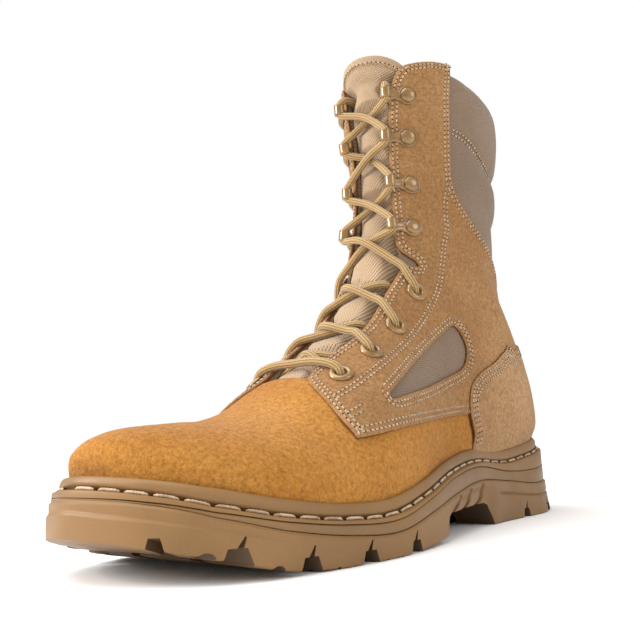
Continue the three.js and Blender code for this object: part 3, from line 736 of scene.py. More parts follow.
# %% [markdown]
# ## Suede, woven nylon and cut edges
# Suede is the leather's flesh side: short fibres that lie in soft patches, lighter where they have been
# brushed one way and darker the other way, with a fine grain of shadows between them. Broad noise gives
# the patches, finer noise the nap, and the same fine noise drives the bump. The nylon is a close twill:
# its ribs run diagonally in the UV map's millimetres. Cut edges show the leather's reddish middle.


# %% Cloth and leather finishes
def suede_finish(name, dark, middle, light, bump=0.6):
    """Suede in three tones of one colour."""
    f = Finish(name, 0.95, Sheen_Weight=0.1, Sheen_Roughness=0.4, Specular_IOR_Level=0.1)
    broad = f.math("MULTIPLY", f.noise(15, 2, 0.5), 0.65)
    patches = f.math("ADD", broad, f.math("MULTIPLY", f.noise(380, 3, 0.6), 0.35))
    tone = f.ramp(patches, (0.34, dark), (0.5, middle), (0.66, light))
    nap = f.noise(640, 3, 0.65)
    shade = f.ramp(nap, (0.3, grey(0.6)), (0.5, grey(0.95)), (0.7, grey(1.2)))
    specks = f.ramp(f.noise(1500, 2, 0.6), (0.3, grey(0.66)), (0.5, grey(1.0)))
    color = f.mix(0.8, f.mix(0.85, tone, shade, "MULTIPLY"), specks, "MULTIPLY")
    height = f.math("ADD", f.math("MULTIPLY", nap, 0.7), f.math("MULTIPLY", f.noise(1300, 2), 0.4))
    return f.finish(color, height, 0.0008, bump)


def twill_finish(name, dark, light, pitch=0.7):
    """Twill: diagonal ribs, `pitch` millimetres apart, cut into single threads by a second finer wave."""
    f = Finish(name, 0.88, Sheen_Weight=0.2, Sheen_Roughness=0.4, Specular_IOR_Level=0.2)
    split = f.add("ShaderNodeSeparateXYZ", {0: f.uv})
    across, along = split.outputs[0], split.outputs[1]
    diagonal = f.math("ADD", f.math("MULTIPLY", across, 0.8), f.math("MULTIPLY", along, -0.6))
    other = f.math("ADD", f.math("MULTIPLY", across, 0.6), f.math("MULTIPLY", along, 0.8))
    rib = f.math("ABSOLUTE", f.math("SINE", f.math("MULTIPLY", diagonal, math.pi / pitch)))
    thread = f.math("ABSOLUTE", f.math("SINE", f.math("MULTIPLY", other, math.pi / (0.8 * pitch))))
    height = f.math("ADD", f.math("MULTIPLY", rib, 0.7), f.math("MULTIPLY", thread, 0.3))
    # The colour follows the weave's height: darker in the grooves between the ribs and threads, as painted
    # shade.
    weave_shade = f.ramp(height, (0.12, dark), (0.62, light))
    patches = f.ramp(f.noise(28, 3), (0.3, grey(0.86)), (0.7, grey(1.06)))
    return f.finish(f.mix(1.0, weave_shade, patches, "MULTIPLY"), height, 0.0004, 0.7)


vamp_suede = suede_finish("golden_suede", srgb(150, 99, 42), srgb(166, 112, 49), srgb(181, 128, 64))
quarter_suede = suede_finish("tan_suede", srgb(138, 99, 62), srgb(151, 112, 72), srgb(168, 129, 88))
counter_suede = suede_finish("pale_suede", srgb(146, 108, 72), srgb(160, 122, 84), srgb(178, 141, 102))
nylon = twill_finish("nylon_twill", srgb(92, 73, 57), srgb(134, 112, 92), 0.55)
tongue_nylon = twill_finish("tongue_twill", srgb(100, 79, 60), srgb(178, 151, 121), 1.15)
lining_cloth = twill_finish("lining_cloth", srgb(106, 88, 65), srgb(150, 131, 101), 1.4)
edge_finish = Finish("cut_edge", 0.95, Specular_IOR_Level=0.1)
fibres = edge_finish.noise(900, 4, 0.7)
cut_edge = edge_finish.finish(
    edge_finish.ramp(fibres, (0.3, srgb(84, 46, 26)), (0.6, srgb(130, 84, 52)), (0.75, srgb(158, 114, 76))),
    fibres, 0.0006, 0.9,
)
print("finishes", [m.name for m in (vamp_suede, quarter_suede, nylon, lining_cloth, cut_edge)])

# %% [markdown]
# ## Vamp
# The vamp is the golden suede over the toes. It reaches back under the quarters on both sides, low along
# the sole as far as the heel counter, and over the instep to the foot of the tongue. It is a grid on the
# last: turn is one parameter, and the other is a share of the way from the toe's tip to the row where
# the vamp ends at that turn. Soft creases where the foot bends are added as shallow troughs.

# %% The vamp
VAMP_TURNS = (0, 0.035, 0.058, 0.1, 0.17, 0.19, 0.21, 0.23, 0.25, 0.28, 0.33, 0.4, 0.5)
VAMP_ROWS = (7.1, 7.07, 7.15, 7.1, 7.0, 7.8, 8.8, 9.7, 10.7, 11.3, 12.2, 12.6, 12.8)
VAMP_OUT, LEATHER = 0.6, 1.6
ROW_MM, TURN_MM = 20, 260  # about how long a row and a whole turn are, for the creases
CREASES = (
    # from (row, turn), to (row, turn), width and depth in millimetres
    ((5.7, 0.13), (6.5, 0.22), 5.0, -0.8),
    ((6.2, 0.12), (7.2, 0.2), 4.5, -0.9),
    ((5.2, 0.16), (6.0, 0.245), 5.0, 0.5),
    ((6.9, 0.2), (8.4, 0.225), 6.0, -0.8),
    ((7.6, 0.21), (9.2, 0.25), 5.0, 0.7),
    ((8.6, 0.24), (9.8, 0.262), 6.0, -0.7),
)


def creases(s, turn):
    """How far the vamp's creases move the surface: each is a bell curve of the distance from a short line,
    with places measured in millimetres along the boot and round it."""
    place = np.stack(np.broadcast_arrays(np.asarray(s, float) * ROW_MM, half_turn(turn) * TURN_MM), -1)
    total = np.zeros(place.shape[:-1])
    for start, end, width, depth in CREASES:
        a, b = np.array(start) * (ROW_MM, TURN_MM), np.array(end) * (ROW_MM, TURN_MM)
        t = np.clip(((place - a) @ (b - a)) / ((b - a) @ (b - a)), 0, 1)
        distance = np.linalg.norm(place - (a + t[..., None] * (b - a)), axis=-1)
        total += depth * np.exp(-((distance / width) ** 2)) * np.sin(np.pi * (0.15 + 0.7 * t))
    return total


WAVE_COUNT = 7


def waves(place, length, seed):
    """Slow random unevenness of a surface, as a sum of sine waves of about that length in millimetres."""
    rng = np.random.default_rng(seed)
    total = np.zeros(place.shape[:-1])
    for _ in range(WAVE_COUNT):
        direction = unit(rng.normal(size=3)) * rng.uniform(0.7, 1.5) * 2 * np.pi / length
        total += np.sin(place @ direction + rng.uniform(0, 2 * np.pi))
    return total / WAVE_COUNT


TUCK_HEIGHT = 9.0


def tuck(base, depth):
    """How far the upper draws in towards the welt: `depth` at the feather line, nothing TUCK_HEIGHT above."""
    return depth * (1 - smooth(base[..., 2] - level(FEATHER, base[..., 1]), 0, TUCK_HEIGHT))


def above_feather(points, faces, below=1.6):
    """The faces with any corner above the line where the upper meets the welt, and a little below it."""
    high = points[:, 2] > level(FEATHER, points[:, 1]) - below
    return faces[high[faces].any(1)]


turns = np.linspace(0, 1, 340, endpoint=False)
share = np.concatenate([np.linspace(0, 0.12, 26), np.linspace(0.12, 1, 126)[1:]])[:, None]
vamp_end = np.interp(half_turn(turns), VAMP_TURNS, VAMP_ROWS)
rows = share * vamp_end
base = last_point(rows, turns)
relief = creases(rows, turns) + 0.25 * waves(base, 34, 3) + 0.12 * waves(base, 9, 4)
relief = relief - tuck(base, 2.3 - 1.3 * smooth(base[..., 1], -140, -110))
outer = on_last(rows, turns[None, :], VAMP_OUT + relief).reshape(-1, 3)
inner = on_last(rows, turns[None, :], VAMP_OUT - LEATHER + relief).reshape(-1, 3)
faces = above_feather(outer, grid_faces(*rows.shape, close_columns=True))
vamp = make_piece(
    "vamp", np.vstack([outer, inner]), walled(faces, len(outer)), [vamp_suede, cut_edge], slots=[0, 0, 1]
)
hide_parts("upper")
print("vamp faces", len(faces))

# %% [markdown]
# ## The nylon body and its padded collar
# Behind the vamp the upper is a body of woven nylon with a cloth lining. It shows in the window of the
# quarters, in the collar and at the tongue. It is one closed sheet: the outer surface on the last, the
# inner one inside it, and an edge that joins them. At the back, two rolls of padding swell between the
# seams, so the outer surface gets a relief: an arch of a sine between one seam and the next.

# %% The body
FLAP_EDGE = (
    (0.0, 18.0), (0.075, 17.4), (0.085, 18.1), (0.099, 18.62), (0.119, 18.9), (0.147, 19.12), (0.18, 19.24),
)
COLLAR_PLACES = ((-10, 256), (20, 256), (49, 251.5), (56, 249), (95, 247.5), (160, 245))
SEAM_TURNS = (0.18, 0.211, 0.248, 0.283, 0.36, 0.42, 0.5)
SEAM_ROWS = (16.7, 16.93, 17.06, 17.16, 17.4, 17.58, 17.7)
LOWER_ROWS = (15.6, 15.7, 15.9, 16.1, 16.4, 16.58, 16.66)


def top_row(turn):
    """The row where the collar ends. The height of a column grows with the row, so halving steps find where
    it reaches the collar's side view. Near the flap the corner's own curve is lower."""
    half = half_turn(turn)
    low, high = np.full(np.shape(half), 15.0), np.full(np.shape(half), float(TOP_ROW))
    places, heights = np.array(COLLAR_PLACES, float).T
    for _ in range(30):
        middle = (low + high) / 2
        point = last_point(middle, turn)
        under = point[..., 2] < np.interp(point[..., 1], places, heights)
        low, high = np.where(under, middle, low), np.where(under, high, middle)
    corner_turns, corner_rows = np.array(FLAP_EDGE).T
    return np.where(half < corner_turns[-1], np.interp(half, corner_turns, corner_rows), low)


def padding(s, turn):
    """The collar's two rolls and the seams between them, in millimetres outside the last."""
    half = half_turn(turn)
    seam = np.interp(half, SEAM_TURNS, SEAM_ROWS)
    lower = np.interp(half, SEAM_TURNS, LOWER_ROWS)
    top = top_row(turn)
    upper_roll = np.clip((s - seam) / (top - seam), 0, 1)
    lower_roll = np.clip((s - lower) / (seam - lower), 0, 1)
    behind = smooth(half, 0.185, 0.24)
    swell = 3.2 * np.sin(np.pi * upper_roll) ** 0.6 * behind
    swell += 2.6 * np.sin(np.pi * lower_roll) ** 0.7 * smooth(half, 0.24, 0.36)
    pinch = 2.2 * np.exp(-(((s - seam) / 0.16) ** 2)) * smooth(half, 0.19, 0.3)
    pinch += 1.4 * np.exp(-(((s - lower) / 0.2) ** 2)) * smooth(half, 0.32, 0.42)
    rim = 2.0 * smooth(s, top - 0.35, top) * behind
    return swell - pinch - rim


def lining_depth(s, turn):
    """How far inside the last the lining is."""
    return 2.4 + 4 * smooth(s, 15.5, 18) * smooth(0.3 - np.abs(half_turn(turn) - 0.5), 0, 0.08)


def body_edge(rows):
    """Half the gap at the body's front, as a turn: almost closed below the throat, and a little wider than
    the throat from there up, so that the flaps' edges cover it."""
    return np.where(rows < 6.95, 0.004, throat(rows) + 0.006)


BODY_START, BODY_RISE = 6.4, 12
BODY_ROWS, BODY_COLUMNS = 150, 230
plain_rows = np.zeros(BODY_ROWS)
share = np.concatenate([np.linspace(0, 1, BODY_ROWS), [1.0, 1.0]])[:, None]
across = np.linspace(0, 1, BODY_COLUMNS)
# The edge depends on the rows and the rows on the edge, so three rounds settle them.
edge_half = body_edge(BODY_START + share * BODY_RISE)
for _ in range(3):
    turns = edge_half + across * (1 - 2 * edge_half)
    rows = BODY_START + share * (top_row(turns) - BODY_START)
    edge_half = body_edge(rows[:, :1])
base = last_point(rows, turns)
covered = 1 - smooth(rows - np.interp(half_turn(turns), VAMP_TURNS, VAMP_ROWS), -0.1, 0.3)
relief = padding(rows, turns) + 0.2 * waves(base, 30, 5) - 1.5 * covered
rim = np.concatenate([plain_rows, [1.3, 2.6]])[:, None]  # the collar's edge turns inwards in two steps
lift = np.concatenate([plain_rows, [0.7, 0.0]])[:, None]
outer = on_last(rows, turns, relief - rim)
outer[..., 2] += lift
inner = on_last(rows, turns, -lining_depth(rows, turns))
inner[..., 2] -= np.concatenate([plain_rows, [0.0, 0.4]])[:, None]
uv = np.stack([turns * 250, rows * 14], -1).reshape(-1, 2)
outer, inner = outer.reshape(-1, 3), inner.reshape(-1, 3)
faces = above_feather(outer, grid_faces(*rows.shape))
body = make_piece(
    "nylon_body", np.vstack([outer, inner]), walled(faces, len(outer)), [nylon, lining_cloth],
    slots=[0, 1, 1], uv=np.vstack([uv, uv]),
)
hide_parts("upper")
print("body faces", len(faces), "collar's top", outer[:, 2].max().round(1))

# %% [markdown]
# ## Panels of suede
# The quarters and the heel counter are flat panels cut from suede and laid over the body. A panel is
# given by its outline on the last, with a hole for the window. Its inside is filled with a lattice of
# points and joined into triangles by a constrained Delaunay triangulation, which keeps the outline's
# edges, and then each point is lifted on to the last. Near the edge the top face curves down, as a cut
# edge does, so the panel has a visible thickness and a reddish side.

# %% Panel helpers
FLAT = np.array([20.0, 250.0])  # millimetres for one row, and for one turn
BATCH, TINY = 2000, 1e-12


def even_outline(places, step=1.3, closed=True, corners=()):
    """An outline through places in rows and turns, with points an even step apart in millimetres. Places
    whose numbers are in `corners` stay sharp: the smooth curve starts again at each of them."""
    places = np.array(places, float) * FLAT
    count = len(places)
    stops = sorted(corners) if corners else [0]
    if not closed:
        stops = sorted({0, *stops, count - 1})
    legs = zip(stops, [*stops[1:], stops[0] + count] if closed else stops[1:])
    out = []
    for first, last in legs:
        leg = places[np.arange(first, last + 1) % count]
        if len(leg) > 2:
            leg = smoothed(leg, 20)
        out.append(even_line(leg, step)[:-1])
    if not closed:
        out.append(places[-1:])
    return np.vstack(out) / FLAT


def distance_to(points, line):
    """The distance in flat millimetres from each point to a closed line of many short legs. The points go in
    batches, because every point is compared with every leg."""
    a, p = line * FLAT, points * FLAT
    b = np.roll(a, -1, 0)
    nearest = np.empty(len(p))
    for start in range(0, len(p), BATCH):
        q = p[start:start + BATCH, None]
        t = np.clip(((q - a) * (b - a)).sum(-1) / np.maximum(((b - a) ** 2).sum(-1), TINY), 0, 1)
        nearest[start:start + BATCH] = np.linalg.norm(q - (a + t[..., None] * (b - a)), axis=-1).min(1)
    return nearest


def inside(points, line):
    """Whether each point is inside a closed line: a ray along the first axis crosses it an odd number of
    times."""
    a, b = line, np.roll(line, -1, 0)
    x, y = points[:, :1], points[:, 1:]
    crosses = (a[:, 1] > y) != (b[:, 1] > y)
    climb = np.where(b[:, 1] == a[:, 1], TINY, b[:, 1] - a[:, 1])
    at = a[:, 0] + (y - a[:, 1]) * (b[:, 0] - a[:, 0]) / climb
    return (crosses & (x < at)).sum(1) % 2 == 1


def inset(line, distance):
    """A closed line moved inwards by flat millimetres, across the direction between its neighbours."""
    flat = line * FLAT
    step = unit(np.roll(flat, -1, 0) - np.roll(flat, 1, 0))
    normal = np.stack([-step[:, 1], step[:, 0]], -1)
    area = (flat[:, 0] * np.roll(flat[:, 1], -1) - np.roll(flat[:, 0], -1) * flat[:, 1]).sum()
    return (flat + normal * distance * np.sign(area)) / FLAT


EDGE_ROUND = 0.9  # how far from the cut the top face starts to curve down
LATTICE = 2.1  # the distance between the points that fill a panel


def between(points, rim, holes):
    """Whether each point is inside the rim and in none of the holes."""
    keep = inside(points, rim)
    for hole in holes:
        keep &= ~inside(points, hole)
    return keep


def panel(name, rim, holes, low, high, material, relief):
    """A panel of leather between two distances from the last. The top face is `high` away from it and curves
    down near every edge, by a quarter circle's rule: one minus the square root of one minus the square."""
    loops = [rim, *holes]
    insets = [inset(rim, EDGE_ROUND), *(inset(h, -EDGE_ROUND) for h in holes)]
    low_corner, high_corner = (rim * FLAT).min(0), (rim * FLAT).max(0)
    x, y = np.meshgrid(
        np.arange(low_corner[0], high_corner[0], LATTICE),
        np.arange(low_corner[1], high_corner[1], LATTICE * 0.87), indexing="ij",
    )
    x = x + (np.arange(x.shape[1]) % 2) * LATTICE / 2
    lattice = np.stack([x.ravel(), y.ravel()], -1) / FLAT
    lattice = lattice[between(lattice, rim, holes)]
    clear = np.min([distance_to(lattice, loop) for loop in loops], 0)
    lattice = lattice[clear > EDGE_ROUND + 0.7 * LATTICE * 0.8]
    rings = []
    for ring in insets:
        near = np.min([distance_to(ring, loop) for loop in loops], 0)
        rings.append(ring[near > EDGE_ROUND * 0.8])
    points = np.vstack([*loops, *rings, lattice])
    starts = np.cumsum([0] + [len(loop) for loop in loops])
    edges = [
        (int(start + k), int(start + (k + 1) % len(loop)))
        for start, loop in zip(starts, loops) for k in range(len(loop))
    ]
    flat = [Vector(p) for p in (points * FLAT).tolist()]
    made, _, triangles, *_ = delaunay_2d_cdt(flat, edges, [], 0, 1e-5)
    points = np.array([tuple(v) for v in made]) / FLAT
    triangles = np.array([t for t in triangles if len(t) == 3])
    triangles = triangles[between(points[triangles].mean(1), rim, holes)]
    distance = np.min([distance_to(points, loop) for loop in loops], 0)
    edge = np.clip(1 - distance / EDGE_ROUND, 0, 1)
    drop = (1 - np.sqrt(1 - 0.75 * edge**2)) * (high - low) * 0.7
    s, turn = points.T
    base = last_point(s, turn)
    uneven = 0.15 * waves(base, 30, 6) + relief(s, turn)
    top = on_last(s, turn, high - drop + uneven)
    bottom = on_last(s, turn, low + np.minimum(uneven, 0))
    triangles = above_feather(top, triangles)
    piece = make_piece(
        name, np.vstack([top, bottom]), walled(triangles, len(top)), [material, cut_edge],
        slots=[0, 0, 1], uv=np.vstack([points * FLAT] * 2),
    )
    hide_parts("upper")
    print(name, "triangles", len(triangles))
    return piece


# %% [markdown]
# ## Quarters
# One piece of suede makes both quarters: the flaps that carry the eyelets and hooks, the sides round the
# ankle, and the strip up the back of the heel. Its outline is listed for the outer side from the front
# corner, and mirrored for the inner side. A notch in front of the ankle lets the flaps bend, and a window
# behind the eyelets shows the nylon.

# %% The quarters' outline
FRONT_EDGE = (
    (18.64, 0.099), (18.15, 0.086), (17.17, 0.073), (16.37, 0.068), (15.07, 0.066), (13.89, 0.061),
    (12.81, 0.054), (11.9, 0.057), (11.31, 0.063), (11.12, 0.074), (11.15, 0.089), (11.23, 0.102),
    (11.17, 0.107), (11.0, 0.098),
    (10.86, 0.088), (10.42, 0.079), (9.81, 0.070), (9.15, 0.067), (8.78, 0.063), (8.42, 0.057), (7.74, 0.041),
    (7.3, 0.039), (7.06, 0.041), (6.87, 0.058), (6.64, 0.100), (6.53, 0.136), (6.53, 0.175), (7.05, 0.187),
    (8.22, 0.211), (9.15, 0.228), (10.29, 0.248), (11.0, 0.272), (12.0, 0.31), (12.8, 0.36), (13.1, 0.42),
)
FRONT_CORNERS = (0, 22, 26)
REAR_EDGE = (
    (15.5, 0.42), (15.4, 0.36), (15.25, 0.3), (14.98, 0.24), (14.96, 0.205), (15.2, 0.190), (15.6, 0.1855),
    (16.39, 0.183), (17.87, 0.181), (19.24, 0.183), (19.12, 0.147), (18.9, 0.119),
)
REAR_CORNERS = (9,)
WINDOW = (
    (7.90, 0.155), (9.00, 0.156), (9.98, 0.164), (10.75, 0.170), (11.02, 0.175), (11.10, 0.184),
    (11.08, 0.196), (10.92, 0.204), (10.50, 0.208), (9.31, 0.193), (8.04, 0.169), (7.84, 0.161),
)


def mirrored(places):
    """The same places on the other side of the boot, in the opposite order."""
    return [(s, 1 - turn) for s, turn in places[::-1]]


places = [*FRONT_EDGE, (13.15, 0.5), *mirrored(FRONT_EDGE), *mirrored(REAR_EDGE), (15.52, 0.5), *REAR_EDGE]
fronts, rears = len(FRONT_EDGE), len(REAR_EDGE)
corners = [*FRONT_CORNERS, *(2 * fronts - k for k in FRONT_CORNERS)]
corners += [2 * fronts + rears - k for k in REAR_CORNERS]
corners += [2 * fronts + 2 + rears + k for k in REAR_CORNERS]
quarter_rim = even_outline(places, corners=corners)
window_rims = [even_outline(WINDOW), even_outline(mirrored(WINDOW))]


def ankle(s, turn):
    """Soft hollows behind the ankle and below the hooks, where the leather has taken the foot's shape."""
    half = half_turn(turn)
    hollow = -0.9 * np.exp(-(((s - 12.2) / 0.9) ** 2) - (((half - 0.2) / 0.045) ** 2))
    bone = 0.9 * np.exp(-(((s - 13.4) / 0.7) ** 2) - (((half - 0.25) / 0.05) ** 2))
    return hollow + bone


panel("quarters", quarter_rim, window_rims, 0.1, FLAP_TOP, quarter_suede, relief=ankle)

# %% [markdown]
# ## Heel counter
# The counter is a stiff cup of suede round the heel, laid over the quarters and the vamp. Its outline
# runs up from the sole, turns back in a rounded corner and slopes up to the heel strip.

# %% The counter
COUNTER_EDGE = (
    (10.05, 0.305), (10.25, 0.283), (10.29, 0.257), (10.33, 0.247), (10.44, 0.235), (10.69, 0.226),
    (11.17, 0.225), (11.92, 0.231), (12.30, 0.240), (12.70, 0.254),
    (13.35, 0.29), (13.95, 0.35), (14.4, 0.42), (14.7, 0.5),
)
COUNTER_TOP = 3.3
counter_rim = even_outline(
    [*COUNTER_EDGE, *mirrored(COUNTER_EDGE[:-1]), (11.6, 0.62), (11.9, 0.5), (11.6, 0.38)],
    corners=(0, 2 * len(COUNTER_EDGE) - 2),
)


def cup_unevenness(s, turn):
    """The counter's own slight waves, and how it draws in to the welt."""
    base = last_point(s, turn)
    return 0.12 * waves(base, 16, 8) - tuck(base, 2.4)


counter = panel("heel_cup", counter_rim, [], 1.4, COUNTER_TOP, counter_suede, relief=cup_unevenness)
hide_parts("heel_counter")

# %% [markdown]
# ## Tongue
# A padded tongue of the same nylon lies under the laces, with a bound edge that is rolled over its top.
# It swells between the flaps and is pressed down where a lace crosses it. The grid's parameters are a
# share of the way across and a share of the way up. The padding falls towards the flaps, and has soft
# folds between the crossings. Last, the lace presses it in: a point's ceiling is the lowest parabola over the
# lace's own points, in the direction of the surface, so the padding sags to the lace and puffs up beside it.

# %% The tongue
TONGUE_ROWS = (6.9, 7.5, 9, 11, 14, 19, 20)
TONGUE_HALVES = (0.045, 0.085, 0.11, 0.115, 0.115, 0.13, 0.13)  # half its width at those rows, as a turn
BINDING = 0.62  # the bound edge's width, in rows
TONGUE_BOTTOM, TONGUE_TOP = 6.93, 19.12


def tongue_top(across):
    """The row of the tongue's upper edge: flat in the middle and rounded off towards both sides."""
    return TONGUE_TOP - 1.3 * np.abs(across) ** 4


def folds(s, across):
    """Creases of the soft padding, as slanted waves that are strongest in the middle of each gap."""
    gap = np.sin(np.pi * (s - 12.12) / 1.6)
    slanted = 0.9 * np.sin(2 * np.pi * (s / 0.8 + 0.35 * across)) * np.exp(-((across - 0.25) ** 2) / 0.12)
    puffs = 0.7 * gap * smooth(s, 10, 12) * (1 - smooth(s, 17.6, 18.2))
    return puffs + slanted * 0.5 * (1 - smooth(s, 17.2, 18.4))


across = np.linspace(-1, 1, 72)
share = np.linspace(0, 1, 300)[:, None]
rows = TONGUE_BOTTOM + share * (tongue_top(across) - TONGUE_BOTTOM)
halves = np.interp(rows, TONGUE_ROWS, TONGUE_HALVES)
turns = np.mod(across * halves, 1)
beside = np.abs(across) * halves / throat(rows)
free = smooth(rows, 16.9, 18.8)
fall = 5.8 - 5.0 * smooth(rows, 10.2, 11.6)
out = -0.9 - fall * smooth(beside, 0.5, 1.15) + (1 - 0.6 * free) * folds(rows, across)
out += free * 3.0 * (1 - across**2)
from_top = tongue_top(across) - rows
bound = 0.9 * (1 - smooth(from_top, BINDING - 0.04, BINDING + 0.01))
out += bound - 0.5 * np.exp(-(((from_top - BINDING) / 0.05) ** 2))
out -= 2.6 * (1 - smooth(from_top, 0, 0.16)) ** 2
out -= 1.2 * smooth(rows, 10.6, 12) * (1 - smooth(rows, 16.9, 18.2))
surface = on_last(rows, turns, out)
outward = last_normal(rows, turns)
near_line = lace_line[::2]
PRESS_REACH, LACE_CLEAR, SAG = 14, 0.7, 12
FREE = 99  # a ceiling that presses nothing
PRESS_BATCH = 1000


def pressed(points, normals):
    """How far the lace pushes each point in: with h the lace's height over the point and d its distance to
    the side, the ceiling is h minus the lace's radius and a small gap, plus d squared divided by SAG."""
    to_lace = near_line[None] - points[:, None]
    rise = np.einsum("pkc,pc->pk", to_lace, normals)
    aside = (to_lace**2).sum(-1) - rise**2
    ceiling = np.where(np.abs(rise) < PRESS_REACH, rise - LACE_RADIUS - LACE_CLEAR + aside / SAG, FREE)
    return np.minimum(ceiling.min(1), 0)


points, normals = surface.reshape(-1, 3), outward.reshape(-1, 3)
batches = [slice(start, start + PRESS_BATCH) for start in range(0, len(points), PRESS_BATCH)]
push = np.concatenate([pressed(points[batch], normals[batch]) for batch in batches]).reshape(rows.shape)
surface = surface + outward * push[..., None]
thick = 4.6 * (1 - 0.75 * np.abs(across) ** 6) * (1 - 0.55 * (1 - smooth(from_top, 0, 0.12)))
behind = surface - outward * thick[..., None]
uv = np.stack([np.broadcast_to(across * 27, rows.shape), rows * 15], -1).reshape(-1, 2)
outer = surface.reshape(-1, 3)
tongue = make_piece(
    "padded_tongue", np.vstack([outer, behind.reshape(-1, 3)]), walled(grid_faces(*rows.shape), len(outer)),
    [tongue_nylon], uv=np.vstack([uv, uv]), slots=[0, 0, 0],
)
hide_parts("tongue")
print("the tongue's top", outer[:, 2].max().round(1))

# %% [markdown]
# ## Stitches
# The panels are held by double rows of pale thread about two millimetres apart. Each stitch is a tiny
# capsule that dips at its ends, and at each end a small dark capsule paints the shade in the hole that the
# needle made. A row starts as a line on the last, is moved sideways by a number of millimetres, and gets a
# stitch every 2.6 mm. All the rows become two meshes, one of thread and one of painted hole shade: each
# point is a stitch's middle plus the capsule's own point in the directions along, across and out of the seam.

# %% Rows of stitches
STITCH, THREAD = 2.6, 0.45


def shifted(line, distance):
    """A line in rows and turns, moved sideways on the last. The step in rows and turns solves two
    equations with the surface's own slopes, so that it has that length in millimetres."""
    s, turn = line.T
    by_row = (last_point(s + 0.02, turn) - last_point(s - 0.02, turn)) / 0.04
    by_turn = (last_point(s, turn + 0.002) - last_point(s, turn - 0.002)) / 0.004
    along = unit(np.gradient(last_point(s, turn), axis=0))
    side = np.cross(last_normal(s, turn), along) * distance
    a, b, c = (by_row * by_row).sum(-1), (by_row * by_turn).sum(-1), (by_turn * by_turn).sum(-1)
    p, q = (by_row * side).sum(-1), (by_turn * side).sum(-1)
    fall = a * c - b * b
    return line + np.stack([(c * p - b * q) / fall, (a * q - b * p) / fall], -1)


def stitch_row(line, height, relief=None, cover=None):
    """The middle, direction, side and outward direction of each stitch along a line of rows and turns.
    Stitches inside the closed line `cover` are left out, because another panel lies over them."""
    s, turn = line.T
    lift = height + (0 if relief is None else relief(s, turn))
    places = np.column_stack([on_last(s, turn, lift), last_normal(s, turn), line])
    along = travelled(places[:, :3])
    at = np.arange(STITCH / 2, along[-1], STITCH)
    middle, before, after = (
        np.stack([np.interp(at + move, along, column) for column in places.T], -1) for move in (0, -0.5, 0.5)
    )
    direction, outward = unit(after[:, :3] - before[:, :3]), unit(middle[:, 3:6])
    frames = np.stack([middle[:, :3], direction, unit(np.cross(outward, direction)), outward], 1)
    return frames if cover is None else frames[~inside(middle[:, 6:], cover)]


def capsules(rows, length, radius, dip, rings, sides, twist=0.0):
    """One capsule for each stitch's frame. Along it, x goes from -1/2 to 1/2 of its length. Its thickness is
    the root of one minus the sixth power of 2x, and its ends sink by `dip` times the fourth power of 2x."""
    x = np.sin(np.linspace(-np.pi / 2, np.pi / 2, rings)) / 2
    angle = np.linspace(0, 2 * np.pi, sides, endpoint=False)
    thick = radius * np.sqrt(np.clip(1 - np.abs(2 * x) ** 6, 0, 1))[:, None] * np.ones(sides)
    if twist:
        thick = thick * (1 + 0.24 * np.cos(2 * angle[None] + twist * x[:, None]))
    y = thick * np.cos(angle)
    z = thick * np.sin(angle) - dip * ((2 * x) ** 4)[:, None]
    local = np.stack([np.broadcast_to(x[:, None] * length, y.shape), y, z], -1).reshape(-1, 3)
    points = rows[:, None, 0] + np.einsum("pk,nkc->npc", local, rows[:, 1:])
    faces = grid_faces(rings, sides, close_columns=True)
    offsets = np.arange(len(rows))[:, None, None] * len(local)
    return points.reshape(-1, 3), (faces[None] + offsets).reshape(-1, 4)


def both_sides(places):
    """A line of the outer side and its mirror image on the inner side."""
    line = np.array(places)
    return [line, np.column_stack([line[:, 0], 1 - line[:, 1]])]


def inwards(line):
    """1 if moving a closed line by a positive distance goes to its inside, and -1 if not."""
    return 1 if inside(shifted(line, 1.0), line).mean() > 0.5 else -1


EYESTAY = (
    (6.80, 0.103), (7.2, 0.108), (7.64, 0.113), (8.18, 0.119), (8.78, 0.126), (9.64, 0.135), (10.43, 0.139),
    (11.16, 0.139), (11.77, 0.134), (12.23, 0.134), (12.78, 0.139), (14.05, 0.161), (14.72, 0.174),
    (15.1, 0.180),
)
BAR_TACKS = (((6.66, 0.135), (7.12, 0.139)), ((6.66, 0.145), (6.98, 0.148)))
DOUBLE = (1.9, 4.1)  # how far in from the edge the two rows of a double seam are
TRIPLE = (*DOUBLE, 6.3)

stitches = []
for distance in DOUBLE:
    closed_rim = np.vstack([quarter_rim, quarter_rim[:1]])
    line = shifted(closed_rim, distance * inwards(quarter_rim))
    stitches.append(stitch_row(line, FLAP_TOP, relief=ankle, cover=counter_rim))
    for window in window_rims:
        line = shifted(np.vstack([window, window[:1]]), -distance * inwards(window))
        stitches.append(stitch_row(line, FLAP_TOP, relief=ankle))
for distance in (-1.1, 1.1):
    for line in both_sides(even_outline(EYESTAY, 0.8, closed=False)):
        stitches.append(stitch_row(shifted(line, distance), FLAP_TOP, relief=ankle))
for tack in BAR_TACKS:
    stitches += [stitch_row(line, FLAP_TOP) for line in both_sides(even_outline(tack, 0.8, closed=False))]

counter_edge = even_outline([*COUNTER_EDGE[1:], *mirrored(COUNTER_EDGE[1:-1])], 0.8, closed=False)
towards_heel = 1 if inside(shifted(counter_edge, 3.0)[20:60], counter_rim).all() else -1
for distance in TRIPLE:
    line = shifted(counter_edge, distance * towards_heel)
    stitches.append(stitch_row(line, COUNTER_TOP, relief=cup_unevenness))

seam_turns = np.linspace(0.188, 0.812, 400)
seam_line = np.column_stack([np.interp(half_turn(seam_turns), SEAM_TURNS, SEAM_ROWS), seam_turns])
for distance in (-1.3, 1.3):
    stitches.append(stitch_row(shifted(seam_line, distance), 0.2, relief=padding))

